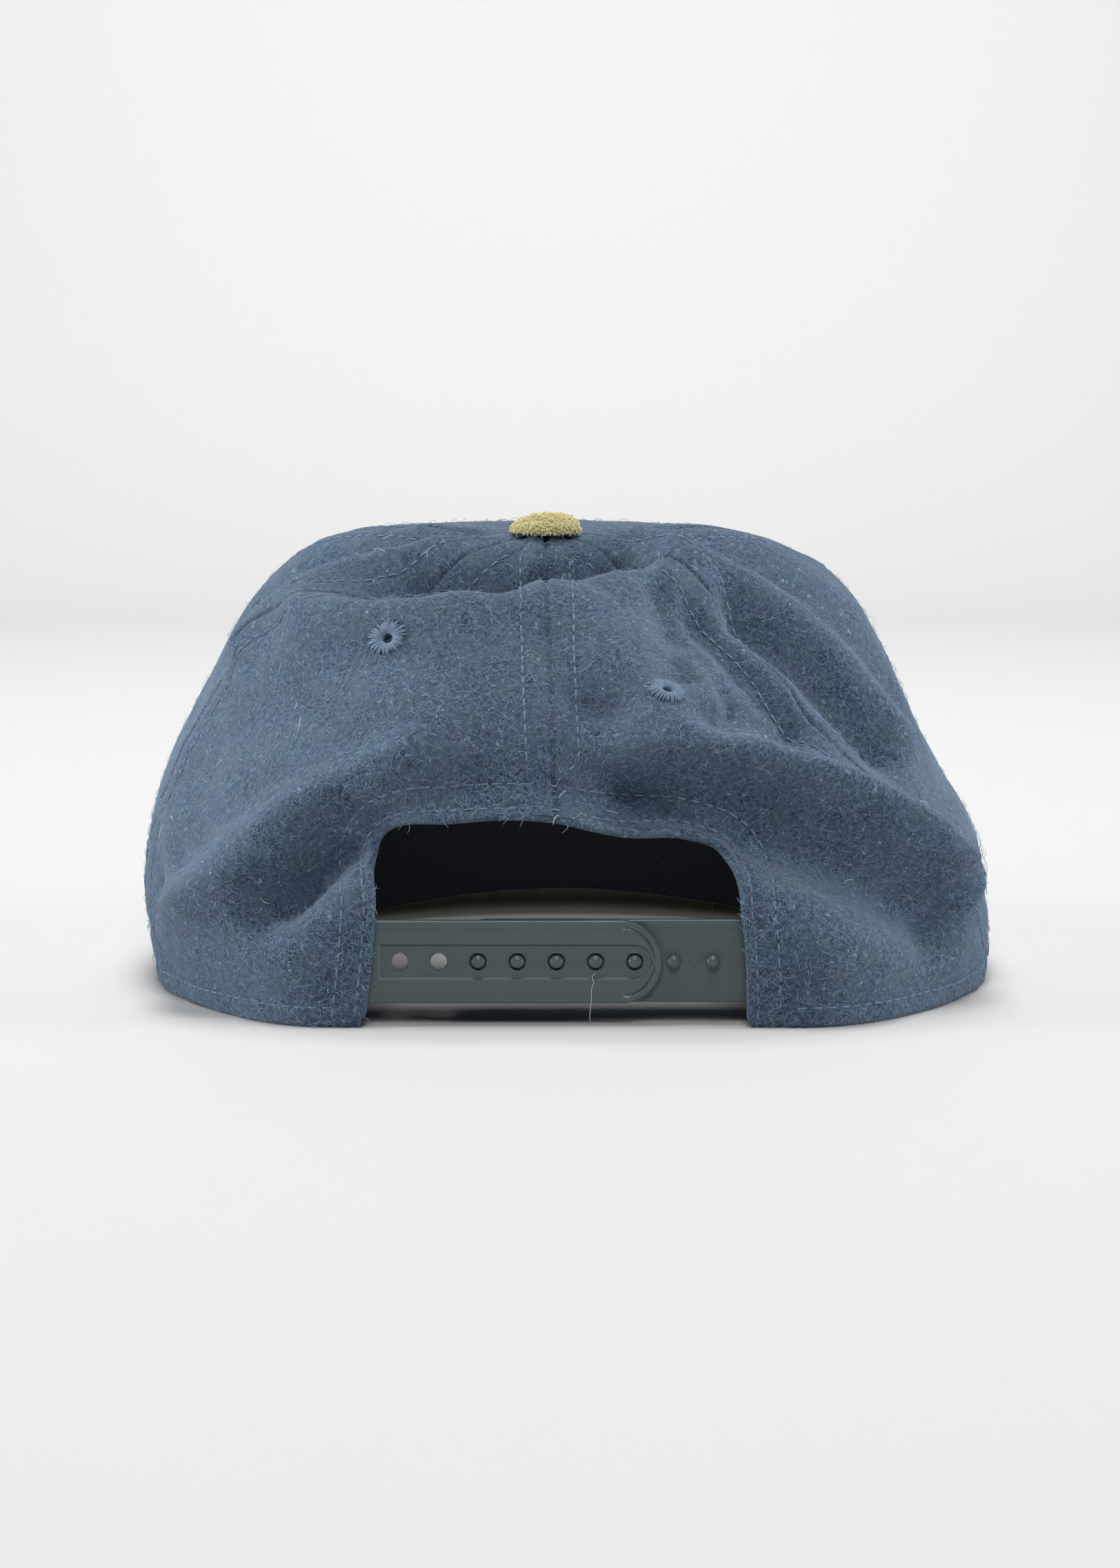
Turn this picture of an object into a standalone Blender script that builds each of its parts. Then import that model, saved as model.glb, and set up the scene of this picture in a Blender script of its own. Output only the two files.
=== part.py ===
"""A six-panel snapback cap with a flat visor, resting on its hem.

Metres, +Z up. +Y is the rear of the cap, where the arch and the snap straps are, and the
visor points to -Y. +X is the wearer's left. The crown is worked out about the Z axis, and at
the end the whole cap is moved so that its box stands centred on the origin.

An azimuth is in degrees about the crown: 0 at the centre back seam, +90 on the wearer's left,
-90 on the right and 180 at the centre front. A level runs from 0 at the hem to 1 at the button.
"""

import math

import bmesh
import bpy
import numpy as np
from mathutils import Matrix, Vector

# Crown
CROWN_HALF_WIDTH = 0.102
CROWN_BACK = 0.083
CROWN_FRONT = 0.092
CROWN_HEIGHT = 0.106
CLOTH = 0.002
SEAM_GAP = 0.0006
FRONT_LIFT = 0.0072
FRONT_LIFT_POWER = 5
BACK_CORNER = 0.007
REAR_START = 0.05
REAR_BLEND = 0.30
BACK_LEAN = 0.0017
BACK_LEAN_LEVEL = 0.3
TOP_HOLE_RADIUS = 0.003
TOP_SHIFT = 0.0035
FOLD_DEPTH = 0.006
FOLD_REACH = 0.012
FOLD_BLEND = 0.002
CHART_RADIUS = 0.095
CHART_TOP_RADIUS = 0.020
CHART_HEIGHT = 0.150
EYELET_HOLE_RADIUS = 0.00125

# Arch and straps
ARCH_HALF_WIDTH = 0.0425
ARCH_HEIGHT = 0.0462
STRAP_HEIGHT = 0.0186
STRAP_RISE = 0.0143
STRAP_THICKNESS = 0.0016
STRAP_TUCK = 0.0075
STRAP_GAP = 0.0003
STRAP_JOIN = 0.0005
LEG_OVERLAP = 0.0030
SNAP_PITCH = 0.0087
HOLE_COUNT = 7
EMPTY_HOLES = 2
SNAP_INSET = 0.0069
HOLE_RADIUS = 0.00185
HOLE_STRAP_END = 0.0061
PEG_RADIUS = 0.0015
PEG_HEIGHT = 0.0024
PEG_DOME = 0.0009
PEG_STRAP_END = 0.0068
CHANNEL_HEIGHT = 0.0075
CHANNEL_DEPTH = 0.0004
CHANNEL_START = 0.0044

# Sweatband, button and visor
BAND_HEIGHT = 0.032
BAND_THICKNESS = 0.0014
BAND_CLEARANCE = 0.0012
BAND_LEAN = 0.0024
BAND_END_GAP = 0.0045
BUTTON_RADIUS = 0.0085
BUTTON_HEIGHT = 0.0062
BUTTON_SIDE = 0.0011
BUTTON_TUCK = 0.0003
BUTTON_TILT = 3.0
BUTTON_CLEARANCE = 0.0009
SHANK_RADIUS = 0.0026
WASHER_RADIUS = 0.0050
WASHER_THICKNESS = 0.0010
VISOR_REACH = 0.070
VISOR_OVERHANG = 0.0085
VISOR_THICKNESS = 0.0036
VISOR_ARC = 55.0
VISOR_EDGE_LIFT = 0.0030
VISOR_CORNER = 0.008
VISOR_CORNER_DRAW = 0.7
VISOR_SQUARENESS = 0.9
VISOR_GAP = 0.0004

# Grids
PANEL_ROWS = 21
REAR_COLUMNS = 18
SIDE_COLUMNS = 9
FRONT_COLUMNS = 10
BAND_COLUMNS = 84
BAND_ROWS = 4
VISOR_COLUMNS = 22
VISOR_ROWS = 6
ROUND_SIDES = 24
HOLE_SIDES = 16
DOME_STEPS = 6

# The levels over which the folds fade out at the hem and at the button, and over which the
# cloth's cut edges turn level at the hem and upright round the button
HEM_FADE = 0.1
TOP_FADE = 0.09
RIM_FADE = 0.08

# The crown's sections, one row a level. Left and right are shares of CROWN_HALF_WIDTH, and so are
# rear_left and rear_right, which hold behind the side seams. Back is a share of CROWN_BACK, front
# of CROWN_FRONT and the four rises of CROWN_HEIGHT. The two corners are the powers that square
# the outline: 2 is an ellipse.
SECTION_COLUMNS = ("level", "left", "right", "rear_left", "rear_right", "back", "front",
                   "rear_corner", "front_corner", "rise_back", "rise_left", "rise_right",
                   "rise_front")
SECTIONS = (
    (0.00, 0.945, 1.000, 0.945, 1.000, 1.265, 1.00, 2.00, 2.05, 0.000, 0.000, 0.000, 0.000),
    (0.12, 0.970, 1.012, 0.970, 1.012, 1.250, 1.00, 2.00, 2.10, 0.160, 0.170, 0.170, 0.185),
    (0.25, 0.955, 0.978, 0.955, 0.975, 1.140, 0.99, 2.00, 2.30, 0.320, 0.330, 0.330, 0.380),
    (0.37, 0.898, 0.882, 0.895, 0.870, 1.030, 0.97, 2.00, 2.50, 0.460, 0.480, 0.470, 0.570),
    (0.50, 0.795, 0.805, 0.785, 0.750, 0.930, 0.92, 2.05, 2.60, 0.600, 0.640, 0.620, 0.748),
    (0.63, 0.695, 0.715, 0.670, 0.620, 0.790, 0.80, 2.10, 2.50, 0.730, 0.787, 0.773, 0.895),
    (0.76, 0.555, 0.548, 0.515, 0.450, 0.580, 0.60, 2.10, 2.30, 0.835, 0.900, 0.885, 0.976),
    (0.88, 0.315, 0.300, 0.290, 0.260, 0.330, 0.34, 2.05, 2.10, 0.898, 0.966, 0.957, 1.008),
    (0.94, 0.165, 0.165, 0.160, 0.155, 0.170, 0.17, 2.00, 2.00, 0.952, 0.984, 0.980, 0.998),
    (1.00, 0.000, 0.000, 0.000, 0.000, 0.000, 0.00, 2.00, 2.00, 0.988, 0.988, 0.988, 0.988),
)

# The seams between the panels, as azimuths at each level. The front left seam is mirrored for
# the right, and the back and front seams run straight up.
SEAM_COLUMNS = ("level", "rear_left", "front_left", "rear_right")
SEAMS = (
    (0.00, 80, 128, -81),
    (0.12, 80, 127, -78),
    (0.25, 80, 125, -68),
    (0.37, 80, 124, -57),
    (0.50, 80, 123, -50),
    (0.63, 77, 122, -50),
    (0.76, 60, 121, -53),
    (0.88, 55, 120, -58),
    (1.00, 58, 120, -60),
)

# The folds, one row each. A ridge or hollow bends from its start past its middle to its end,
# each an azimuth and a level. Height is a share of FOLD_DEPTH, with hollows below 0, and the
# half widths above and below its line are shares of FOLD_REACH.
FOLD_COLUMNS = ("name", "azimuth_0", "level_0", "azimuth_1", "level_1", "azimuth_2", "level_2",
                "height", "above", "below")
FOLDS = (
    ("brow left",           60, 0.69,   35, 0.71,    2, 0.81,  0.65, 0.5, 0.70),
    ("brow right",           0, 0.81,  -25, 0.86,  -66, 0.86,  0.45, 0.5, 0.70),
    ("dip left of button",  54, 0.79,   47, 0.84,   24, 0.92, -0.90, 0.6, 0.50),
    ("dip right of button",-10, 0.93,  -42, 0.93,  -66, 0.91, -0.50, 0.5, 0.50),
    ("left ridge",          22, 0.52,   29, 0.42,   60, 0.18,  1.00, 0.9, 0.60),
    ("left valley",         29, 0.34,   34, 0.28,   40, 0.21, -1.20, 0.5, 0.60),
    ("right ridge top",     -3, 0.76,  -10, 0.60,  -20, 0.53,  0.35, 0.8, 0.60),
    ("right ridge",        -17, 0.54,  -43, 0.42,  -66, 0.18,  1.20, 0.7, 0.60),
    ("right valley",       -12, 0.38,  -33, 0.35,  -57, 0.13, -1.30, 0.5, 0.90),
    ("rear hollow",         24, 0.41,    6, 0.42,  -12, 0.42, -0.50, 1.2, 0.80),
    ("right bulge",        -36, 0.13,  -46, 0.10,  -60, 0.07,  0.45, 1.0, 1.00),
    ("streak inner",       -36, 0.80,  -28, 0.70,  -24, 0.63, -0.40, 0.4, 0.40),
    ("streak middle",      -43, 0.74,  -38, 0.60,  -41, 0.47, -0.65, 0.4, 0.40),
    ("streak outer",       -55, 0.72,  -54, 0.59,  -66, 0.42, -0.90, 0.4, 0.40),
    ("right crest",        -76, 0.90,  -64, 0.68,  -72, 0.44,  0.90, 0.7, 0.50),
    ("right side hollow", -100, 0.90,  -84, 0.72,  -88, 0.48, -1.30, 0.6, 0.50),
    ("left crest",          82, 0.62,   74, 0.75,   76, 0.90,  0.70, 0.5, 0.50),
    ("left side hollow",    96, 0.92,   90, 0.78,   94, 0.60, -1.30, 0.5, 0.50),
)

# The arch over the straps, from the foot of the left leg round to the foot of the right one.
# The columns are across, a share of ARCH_HALF_WIDTH, and rise, one of ARCH_HEIGHT.
ARCH = (
    (1.03, -0.10),
    (0.96, 0.60),
    (0.97, 0.84),
    (0.88, 0.94),
    (0.55, 0.99),
    (0.10, 1.00),
    (-0.32, 0.925),
    (-0.68, 0.895),
    (-0.88, 0.80),
    (-0.945, 0.52),
    (-0.98, -0.10),
)

# Less than this is nothing, in a share or in metres
TINY = 1e-7

# Where the two eyelets are: azimuth and level
EYELETS = {"rear_panel_left": (33.5, 0.67), "rear_panel_right": (-20.5, 0.58)}

# The snaps along the straps. The pegs start in the first hole that isn't left empty, and there
# are as many as fit before the arch's other edge.
FIRST_HOLE = ARCH_HALF_WIDTH - SNAP_INSET
LAST_HOLE = FIRST_HOLE - (HOLE_COUNT - 1)*SNAP_PITCH
FIRST_PEG = FIRST_HOLE - EMPTY_HOLES*SNAP_PITCH
PEG_COUNT = int((FIRST_PEG + ARCH_HALF_WIDTH - SNAP_INSET)/SNAP_PITCH) + 1
STRAP_TAIL = ARCH_HALF_WIDTH + STRAP_TUCK


def smooth(share):
    """A soft step from 0 to 1."""
    share = np.clip(share, 0.0, 1.0)
    return share*share*(3.0 - 2.0*share)


def table_value(table, columns, column, level):
    """A column of a table of levels, read along a smooth curve through its rows."""
    rows = np.array([row[0] for row in table], dtype=float)
    values = np.array([row[columns.index(column)] for row in table], dtype=float)
    slopes = np.gradient(values, rows)
    low = np.clip(np.searchsorted(rows, level, side="right") - 1, 0, len(rows) - 2)
    step = rows[low + 1] - rows[low]
    s = (level - rows[low])/step
    return ((2*s**3 - 3*s**2 + 1)*values[low] + (3*s**2 - 2*s**3)*values[low + 1]
            + (s**3 - 2*s**2 + s)*step*slopes[low] + (s**3 - s**2)*step*slopes[low + 1])


def section(column, level):
    return table_value(SECTIONS, SECTION_COLUMNS, column, level)


def seam(name, level):
    """The azimuth of a seam at a level."""
    fixed = {"back": 0.0, "front_from_left": 180.0, "front_from_right": -180.0}
    if name in fixed:
        return np.full_like(level, fixed[name])
    if name == "front_right":
        return -table_value(SEAMS, SEAM_COLUMNS, "front_left", level)
    return table_value(SEAMS, SEAM_COLUMNS, name, level)


def soft_least(a, b, softness):
    """The lesser of two lengths, rounded over where they meet."""
    share = np.clip(0.5 + 0.5*(b - a)/softness, 0.0, 1.0)
    return b*(1 - share) + a*share - softness*share*(1 - share)


def smooth_crown(azimuth, level):
    """The crown's outer surface without its folds. Its rear widths take over from the front ones
    where the azimuth's cosine passes from REAR_START to REAR_START + REAR_BLEND."""
    turn = np.radians(azimuth)
    s, c = np.sin(turn), np.cos(turn)
    half = CROWN_HALF_WIDTH*np.where(s > 0, section("left", level), section("right", level))
    back = CROWN_BACK*section("back", level)
    front = CROWN_FRONT*section("front", level)
    rear_half = CROWN_HALF_WIDTH*np.where(s > 0, section("rear_left", level),
                                          section("rear_right", level))
    half = half + (rear_half - half)*smooth((c - REAR_START)/REAR_BLEND)
    half = np.maximum(half, TINY)
    reach = np.maximum(np.where(c > 0, back, front), TINY)
    power = np.where(c > 0, section("rear_corner", level), section("front_corner", level))
    radius = (np.abs(s/half)**power + np.abs(c/reach)**power)**(-1.0/power)
    radius = radius + TOP_HOLE_RADIUS*smooth(level)
    x, y = radius*s, radius*c
    wall = CROWN_BACK + BACK_LEAN*np.clip(level/BACK_LEAN_LEVEL, 0.0, 1.0)
    y = np.where(c > 0, soft_least(y, wall, BACK_CORNER), y)
    side = section("rise_right", level)
    side = side + (section("rise_left", level) - side)*smooth(0.5 + 1.5*s)
    rear = np.clip(c, 0.0, 1.0)**1.5
    fore = smooth((0.15 - c)/0.75)
    rise = side + (section("rise_back", level) - side)*rear
    rise = rise + (section("rise_front", level) - side)*fore
    z = CROWN_HEIGHT*rise + FRONT_LIFT*np.clip(-c, 0.0, 1.0)**FRONT_LIFT_POWER*(1 - level)**2
    return np.stack([x + TOP_SHIFT*smooth(level), y, z], axis=-1)


def chart(azimuth, level):
    """The crown laid flat, in metres, to measure distances from a fold."""
    radius = CHART_TOP_RADIUS + (CHART_RADIUS - CHART_TOP_RADIUS)*(1 - level)
    return np.stack([np.radians(azimuth)*radius, level*CHART_HEIGHT], axis=-1)


def fold_height(azimuth, level, row):
    """How far one fold lifts the cloth."""
    fold = dict(zip(FOLD_COLUMNS, row))
    here = chart(azimuth, level)
    start, bend, end = (chart(float(fold[f"azimuth_{i}"]), fold[f"level_{i}"]) for i in range(3))
    along = np.linspace(0.0, 1.0, 9)[:, None]
    line = (1 - along)**2*start + 2*along*(1 - along)*bend + along**2*end
    heading = np.sign(end[0] - start[0])
    nearest = np.full(here.shape[:-1], 1.0)
    side = np.zeros_like(nearest)
    for a, b in zip(line[:-1], line[1:]):
        step = b - a
        share = np.clip((here - a) @ step/(step @ step), 0.0, 1.0)
        away = here - a - share[..., None]*step
        distance = np.hypot(away[..., 0], away[..., 1])
        turned = heading*(step[0]*away[..., 1] - step[1]*away[..., 0])/np.hypot(*step)
        closer = distance < nearest
        nearest = np.where(closer, distance, nearest)
        side = np.where(closer, turned, side)
    lean = side/(nearest + FOLD_BLEND)
    width = 0.5*FOLD_REACH*(fold["above"] + fold["below"] + (fold["above"] - fold["below"])*lean)
    return FOLD_DEPTH*fold["height"]*np.exp(-(nearest/width)**2)


def surface_normal(surface, azimuth, level):
    """The outward normal of a surface of azimuth and level, from close neighbours."""
    around = surface(azimuth + 0.5, level) - surface(azimuth - 0.5, level)
    above, below = np.minimum(level + 0.005, 1.0), np.maximum(level - 0.005, 0.0)
    up = surface(azimuth, above) - surface(azimuth, below)
    normal = np.cross(up, around)
    return normal/np.linalg.norm(normal, axis=-1, keepdims=True)


def crown_surface(azimuth, level):
    """The crown's outer surface, folds and all."""
    folds = sum(fold_height(azimuth, level, row) for row in FOLDS)
    folds = folds*smooth(level/HEM_FADE)*smooth((1 - level)/TOP_FADE)
    normal = surface_normal(smooth_crown, azimuth, level)
    return smooth_crown(azimuth, level) + normal*folds[..., None]


def crown_point(azimuth, level, depth):
    """A point of the crown, depth inside its outer surface. The hem's rim is level."""
    normal = surface_normal(crown_surface, azimuth, level)
    normal[..., 2] *= smooth(level/RIM_FADE)
    normal[..., :2] *= smooth((1 - level)/TOP_FADE)[..., None]
    normal = normal/np.linalg.norm(normal, axis=-1, keepdims=True)
    return crown_surface(azimuth, level) - normal*np.asarray(depth)[..., None]


def one_crown_point(azimuth, level, depth=0.0):
    return crown_point(np.array([float(azimuth)]), np.array([float(level)]), np.array([depth]))[0]


def new_material(name, colour, roughness, metallic=0.0):
    material = bpy.data.materials.new(name)
    material.use_nodes = True
    shader = material.node_tree.nodes["Principled BSDF"]
    shader.inputs["Base Color"].default_value = (*colour, 1.0)
    shader.inputs["Roughness"].default_value = roughness
    shader.inputs["Metallic"].default_value = metallic
    material.diffuse_color = (*colour, 1.0)
    return material


def new_object(name, mesh, material, collection):
    mesh.name = name
    if material:
        mesh.materials.clear()
        mesh.materials.append(material)
    made = bpy.data.objects.new(name, mesh)
    collection.objects.link(made)
    return made


def cutter(name, mesh, collection):
    """A helper shape that cuts or joins, hidden from the render."""
    made = new_object(name, mesh, None, collection)
    made.hide_render = True
    made.display_type = "WIRE"
    return made


def boolean(target, other, operation):
    modifier = target.modifiers.new(other.name, "BOOLEAN")
    modifier.operation = operation
    modifier.solver = "EXACT"
    modifier.object = other


def mesh_from(shape):
    """A mesh from a bmesh, faces out."""
    bmesh.ops.recalc_face_normals(shape, faces=shape.faces[:])
    if shape.calc_volume(signed=True) < 0:
        bmesh.ops.reverse_faces(shape, faces=shape.faces[:])
    mesh = bpy.data.meshes.new("shape")
    shape.to_mesh(mesh)
    shape.free()
    return mesh


def sheet(columns, rows, place):
    """A closed sheet: a flat grid made one unit thick, and each corner of it put where
    place(across, up, depth) says, all three from 0 to 1."""
    shape = bmesh.new()
    bmesh.ops.create_grid(shape, x_segments=columns, y_segments=rows, size=0.5)
    bmesh.ops.solidify(shape, geom=shape.faces[:], thickness=1.0)
    flat = np.array([vert.co[:] for vert in shape.verts])
    depth = (flat[:, 2] - flat[:, 2].min())/np.ptp(flat[:, 2])
    placed = place(flat[:, 0] + 0.5, flat[:, 1] + 0.5, depth)
    for vert, point in zip(shape.verts, placed):
        vert.co = point
    mesh = mesh_from(shape)
    mesh.shade_smooth()
    mesh.set_sharp_from_angle(angle=math.radians(50))
    return mesh


def panel_mesh(first_seam, last_seam, columns):
    """One crown panel between two seams, half a seam gap clear of each."""
    def place(across, level, depth):
        first, last = seam(first_seam, level), seam(last_seam, level)
        azimuth = first + (last - first)*across
        point = smooth_crown(azimuth, level)
        radius = np.hypot(point[:, 0] - TOP_SHIFT*smooth(level), point[:, 1])
        inset = np.degrees(0.5*SEAM_GAP/radius)
        azimuth = azimuth + inset*(1 - 2*across)
        return crown_point(azimuth, level, depth*CLOTH)
    return sheet(columns, PANEL_ROWS, place)


def curve_plate(points, thickness, curved=False):
    """A flat plate between -thickness/2 and thickness/2, from a closed outline in XY. A curved
    one is smooth but for its first and last points."""
    curve = bpy.data.curves.new("plate", "CURVE")
    curve.dimensions = "2D"
    curve.fill_mode = "BOTH"
    curve.extrude = 0.5*thickness
    curve.resolution_u = 5
    spline = curve.splines.new("BEZIER" if curved else "POLY")
    if curved:
        spline.bezier_points.add(len(points) - 1)
        for i, (point, place) in enumerate(zip(spline.bezier_points, points)):
            point.co = (*place, 0.0)
            point.handle_left_type = "AUTO" if 0 < i < len(points) - 1 else "VECTOR"
            point.handle_right_type = point.handle_left_type
    else:
        spline.points.add(len(points) - 1)
        for point, place in zip(spline.points, points):
            point.co = (*place, 0.0, 1.0)
    spline.use_cyclic_u = True
    made = bpy.data.objects.new("plate", curve)
    bpy.context.scene.collection.objects.link(made)
    bpy.context.view_layer.update()
    evaluated = made.evaluated_get(bpy.context.evaluated_depsgraph_get())
    mesh = bpy.data.meshes.new_from_object(evaluated)
    bpy.data.objects.remove(made)
    bpy.data.curves.remove(curve)
    shape = bmesh.new()
    shape.from_mesh(mesh)
    bmesh.ops.remove_doubles(shape, verts=shape.verts[:], dist=1e-6)
    bpy.data.meshes.remove(mesh)
    return mesh_from(shape)


def stand_up(mesh, y):
    """Turns a plate drawn in XY so that its Y is up and its face looks to the rear."""
    mesh.transform(Matrix.Translation((0.0, y, 0.0)) @ Matrix.Rotation(math.radians(90), 4, "X"))


def arch_cutter(collection):
    points = [(across*ARCH_HALF_WIDTH, rise*ARCH_HEIGHT) for across, rise in ARCH]
    mesh = curve_plate(points, 0.5*CROWN_BACK, curved=True)
    stand_up(mesh, CROWN_BACK)
    return cutter("arch_cutter", mesh, collection)


def eyelet_cutter(azimuth, level, name, collection):
    shape = bmesh.new()
    bmesh.ops.create_cone(shape, cap_ends=True, segments=HOLE_SIDES, radius1=EYELET_HOLE_RADIUS,
                          radius2=EYELET_HOLE_RADIUS, depth=6*CLOTH)
    outer, inner = one_crown_point(azimuth, level), one_crown_point(azimuth, level, CLOTH)
    turn = Vector(outer - inner).to_track_quat("Z", "Y").to_matrix().to_4x4()
    shape.transform(Matrix.Translation(Vector(0.5*(outer + inner))) @ turn)
    return cutter(f"eyelet_{name}", mesh_from(shape), collection)


def add_panels(material, parts, cutters):
    arch = arch_cutter(cutters)
    panels = (
        ("rear_panel_left", "back", "rear_left", REAR_COLUMNS),
        ("side_panel_left", "rear_left", "front_left", SIDE_COLUMNS),
        ("front_panel_left", "front_left", "front_from_left", FRONT_COLUMNS),
        ("front_panel_right", "front_from_right", "front_right", FRONT_COLUMNS),
        ("side_panel_right", "front_right", "rear_right", SIDE_COLUMNS),
        ("rear_panel_right", "rear_right", "back", REAR_COLUMNS),
    )
    for name, first_seam, last_seam, columns in panels:
        panel = new_object(name, panel_mesh(first_seam, last_seam, columns), material, parts)
        if name in EYELETS:
            boolean(panel, arch, "DIFFERENCE")
            boolean(panel, eyelet_cutter(*EYELETS[name], name, cutters), "DIFFERENCE")


def add_sweatband(material, parts):
    """The band inside the hem, from one strap's end round the front to the other's."""
    inset = CLOTH + BAND_CLEARANCE
    start = float(azimuth_at(STRAP_TAIL + BAND_END_GAP, 0.0))
    top = level_at_rise(BAND_HEIGHT)
    foot = level_at_rise(SEAM_GAP)

    def place(across, up, depth):
        azimuth = start + (360 - 2*start)*across
        azimuth = np.where(azimuth > 180, azimuth - 360, azimuth)
        level = foot + (top - foot)*up
        return crown_point(azimuth, level, inset + up*BAND_LEAN + depth*BAND_THICKNESS)
    new_object("sweatband", sheet(BAND_COLUMNS, BAND_ROWS, place), material, parts)


def add_button(material, parts):
    """The covered button, its shank through the crown's top hole and the washer inside, turned
    as one profile about the top of the crown."""
    top = CROWN_HEIGHT*SECTIONS[-1][SECTION_COLUMNS.index("rise_back")]
    under = BUTTON_CLEARANCE
    inside = -CLOTH - BUTTON_CLEARANCE
    turns = [0.5*math.pi*i/DOME_STEPS for i in range(DOME_STEPS + 1)]
    rise = BUTTON_HEIGHT - BUTTON_SIDE
    dome = [(BUTTON_RADIUS*math.sin(turn), under + BUTTON_SIDE + rise*math.cos(turn)) for turn in turns]
    profile = dome + [
        (BUTTON_RADIUS - BUTTON_TUCK, under),
        (SHANK_RADIUS, under),
        (SHANK_RADIUS, inside),
        (WASHER_RADIUS, inside),
        (WASHER_RADIUS, inside - WASHER_THICKNESS),
        (0.0, inside - WASHER_THICKNESS),
    ]
    mesh = bpy.data.meshes.new("profile")
    edges = [(i, i + 1) for i in range(len(profile) - 1)]
    mesh.from_pydata([(x, 0.0, z) for x, z in profile], edges, [])
    button = new_object("top_button", mesh, material, parts)
    button.location = (TOP_SHIFT, 0.0, top)
    button.rotation_euler.x = -math.radians(BUTTON_TILT)
    screw = button.modifiers.new("turn", "SCREW")
    screw.axis = "Z"
    screw.steps = ROUND_SIDES
    screw.render_steps = ROUND_SIDES
    screw.use_merge_vertices = True
    screw.merge_threshold = 1e-5
    screw.use_smooth_shade = True


def level_at_rise(rise):
    """The level at a small height above the hem, from the first two rows of the sections."""
    share = SECTIONS[1][SECTION_COLUMNS.index("rise_left")]/SECTIONS[1][0]
    return rise/(CROWN_HEIGHT*share)


def azimuth_at(across, level):
    """The azimuth at which the rear of the crown reaches a distance across."""
    azimuths = np.linspace(0.0, 90.0, 181)
    outward = crown_surface(azimuths, np.full_like(azimuths, level))[:, 0]
    return np.interp(across, outward, azimuths)


def strap_face():
    """How far to the rear the outer strap's face lies: just inside the cloth of both legs of the
    arch, which reach in over the straps by LEG_OVERLAP."""
    top = STRAP_RISE + 0.5*STRAP_HEIGHT
    azimuth, level = np.meshgrid(np.linspace(-60, 60, 241), np.linspace(0.0, 2*level_at_rise(top), 41))
    inside = crown_point(azimuth.ravel(), level.ravel(), np.full(azimuth.size, CLOTH))
    across, rise = np.abs(inside[:, 0]), inside[:, 2]
    over = (across > ARCH_HALF_WIDTH - LEG_OVERLAP) & (across < STRAP_TAIL) & (rise < top)
    return inside[over, 1].min() - STRAP_GAP


def strap_outline(tail, tip):
    """A strap's outline from its square tail to its round tip."""
    half = 0.5*STRAP_HEIGHT
    way = math.copysign(1.0, tip - tail)
    steps = ROUND_SIDES//2
    turns = [math.radians(-90 + 180*i/steps) for i in range(steps + 1)]
    tip_arc = [(tip - way*half*(1 - math.cos(turn)), STRAP_RISE + half*math.sin(turn))
               for turn in turns]
    return [(tail, STRAP_RISE - half)] + tip_arc + [(tail, STRAP_RISE + half)]


def add_hole_strap(material, parts, cutters, face):
    """The outer strap, with its row of holes along a shallow channel."""
    mesh = curve_plate(strap_outline(STRAP_TAIL, LAST_HOLE - HOLE_STRAP_END), STRAP_THICKNESS)
    stand_up(mesh, face - 0.5*STRAP_THICKNESS)
    strap = new_object("strap_hole_side", mesh, material, parts)
    half = 0.5*CHANNEL_HEIGHT
    steps = ROUND_SIDES//2
    turns = [math.radians(-90 - 180*i/steps) for i in range(steps + 1)]
    channel = [(FIRST_HOLE + CHANNEL_START, STRAP_RISE - half)]
    channel += [(LAST_HOLE + half*math.cos(turn), STRAP_RISE + half*math.sin(turn)) for turn in turns]
    channel += [(FIRST_HOLE + CHANNEL_START, STRAP_RISE + half)]
    groove = curve_plate(channel, 2*CHANNEL_DEPTH)
    stand_up(groove, face)
    boolean(strap, cutter("channel_cutter", groove, cutters), "DIFFERENCE")
    drills = bmesh.new()
    for i in range(HOLE_COUNT):
        place = Matrix.Translation((FIRST_HOLE - i*SNAP_PITCH, face, STRAP_RISE))
        place = place @ Matrix.Rotation(math.radians(90), 4, "X")
        bmesh.ops.create_cone(drills, cap_ends=True, segments=HOLE_SIDES, radius1=HOLE_RADIUS,
                              radius2=HOLE_RADIUS, depth=4*STRAP_THICKNESS, matrix=place)
    boolean(strap, cutter("hole_drills", mesh_from(drills), cutters), "DIFFERENCE")


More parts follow.
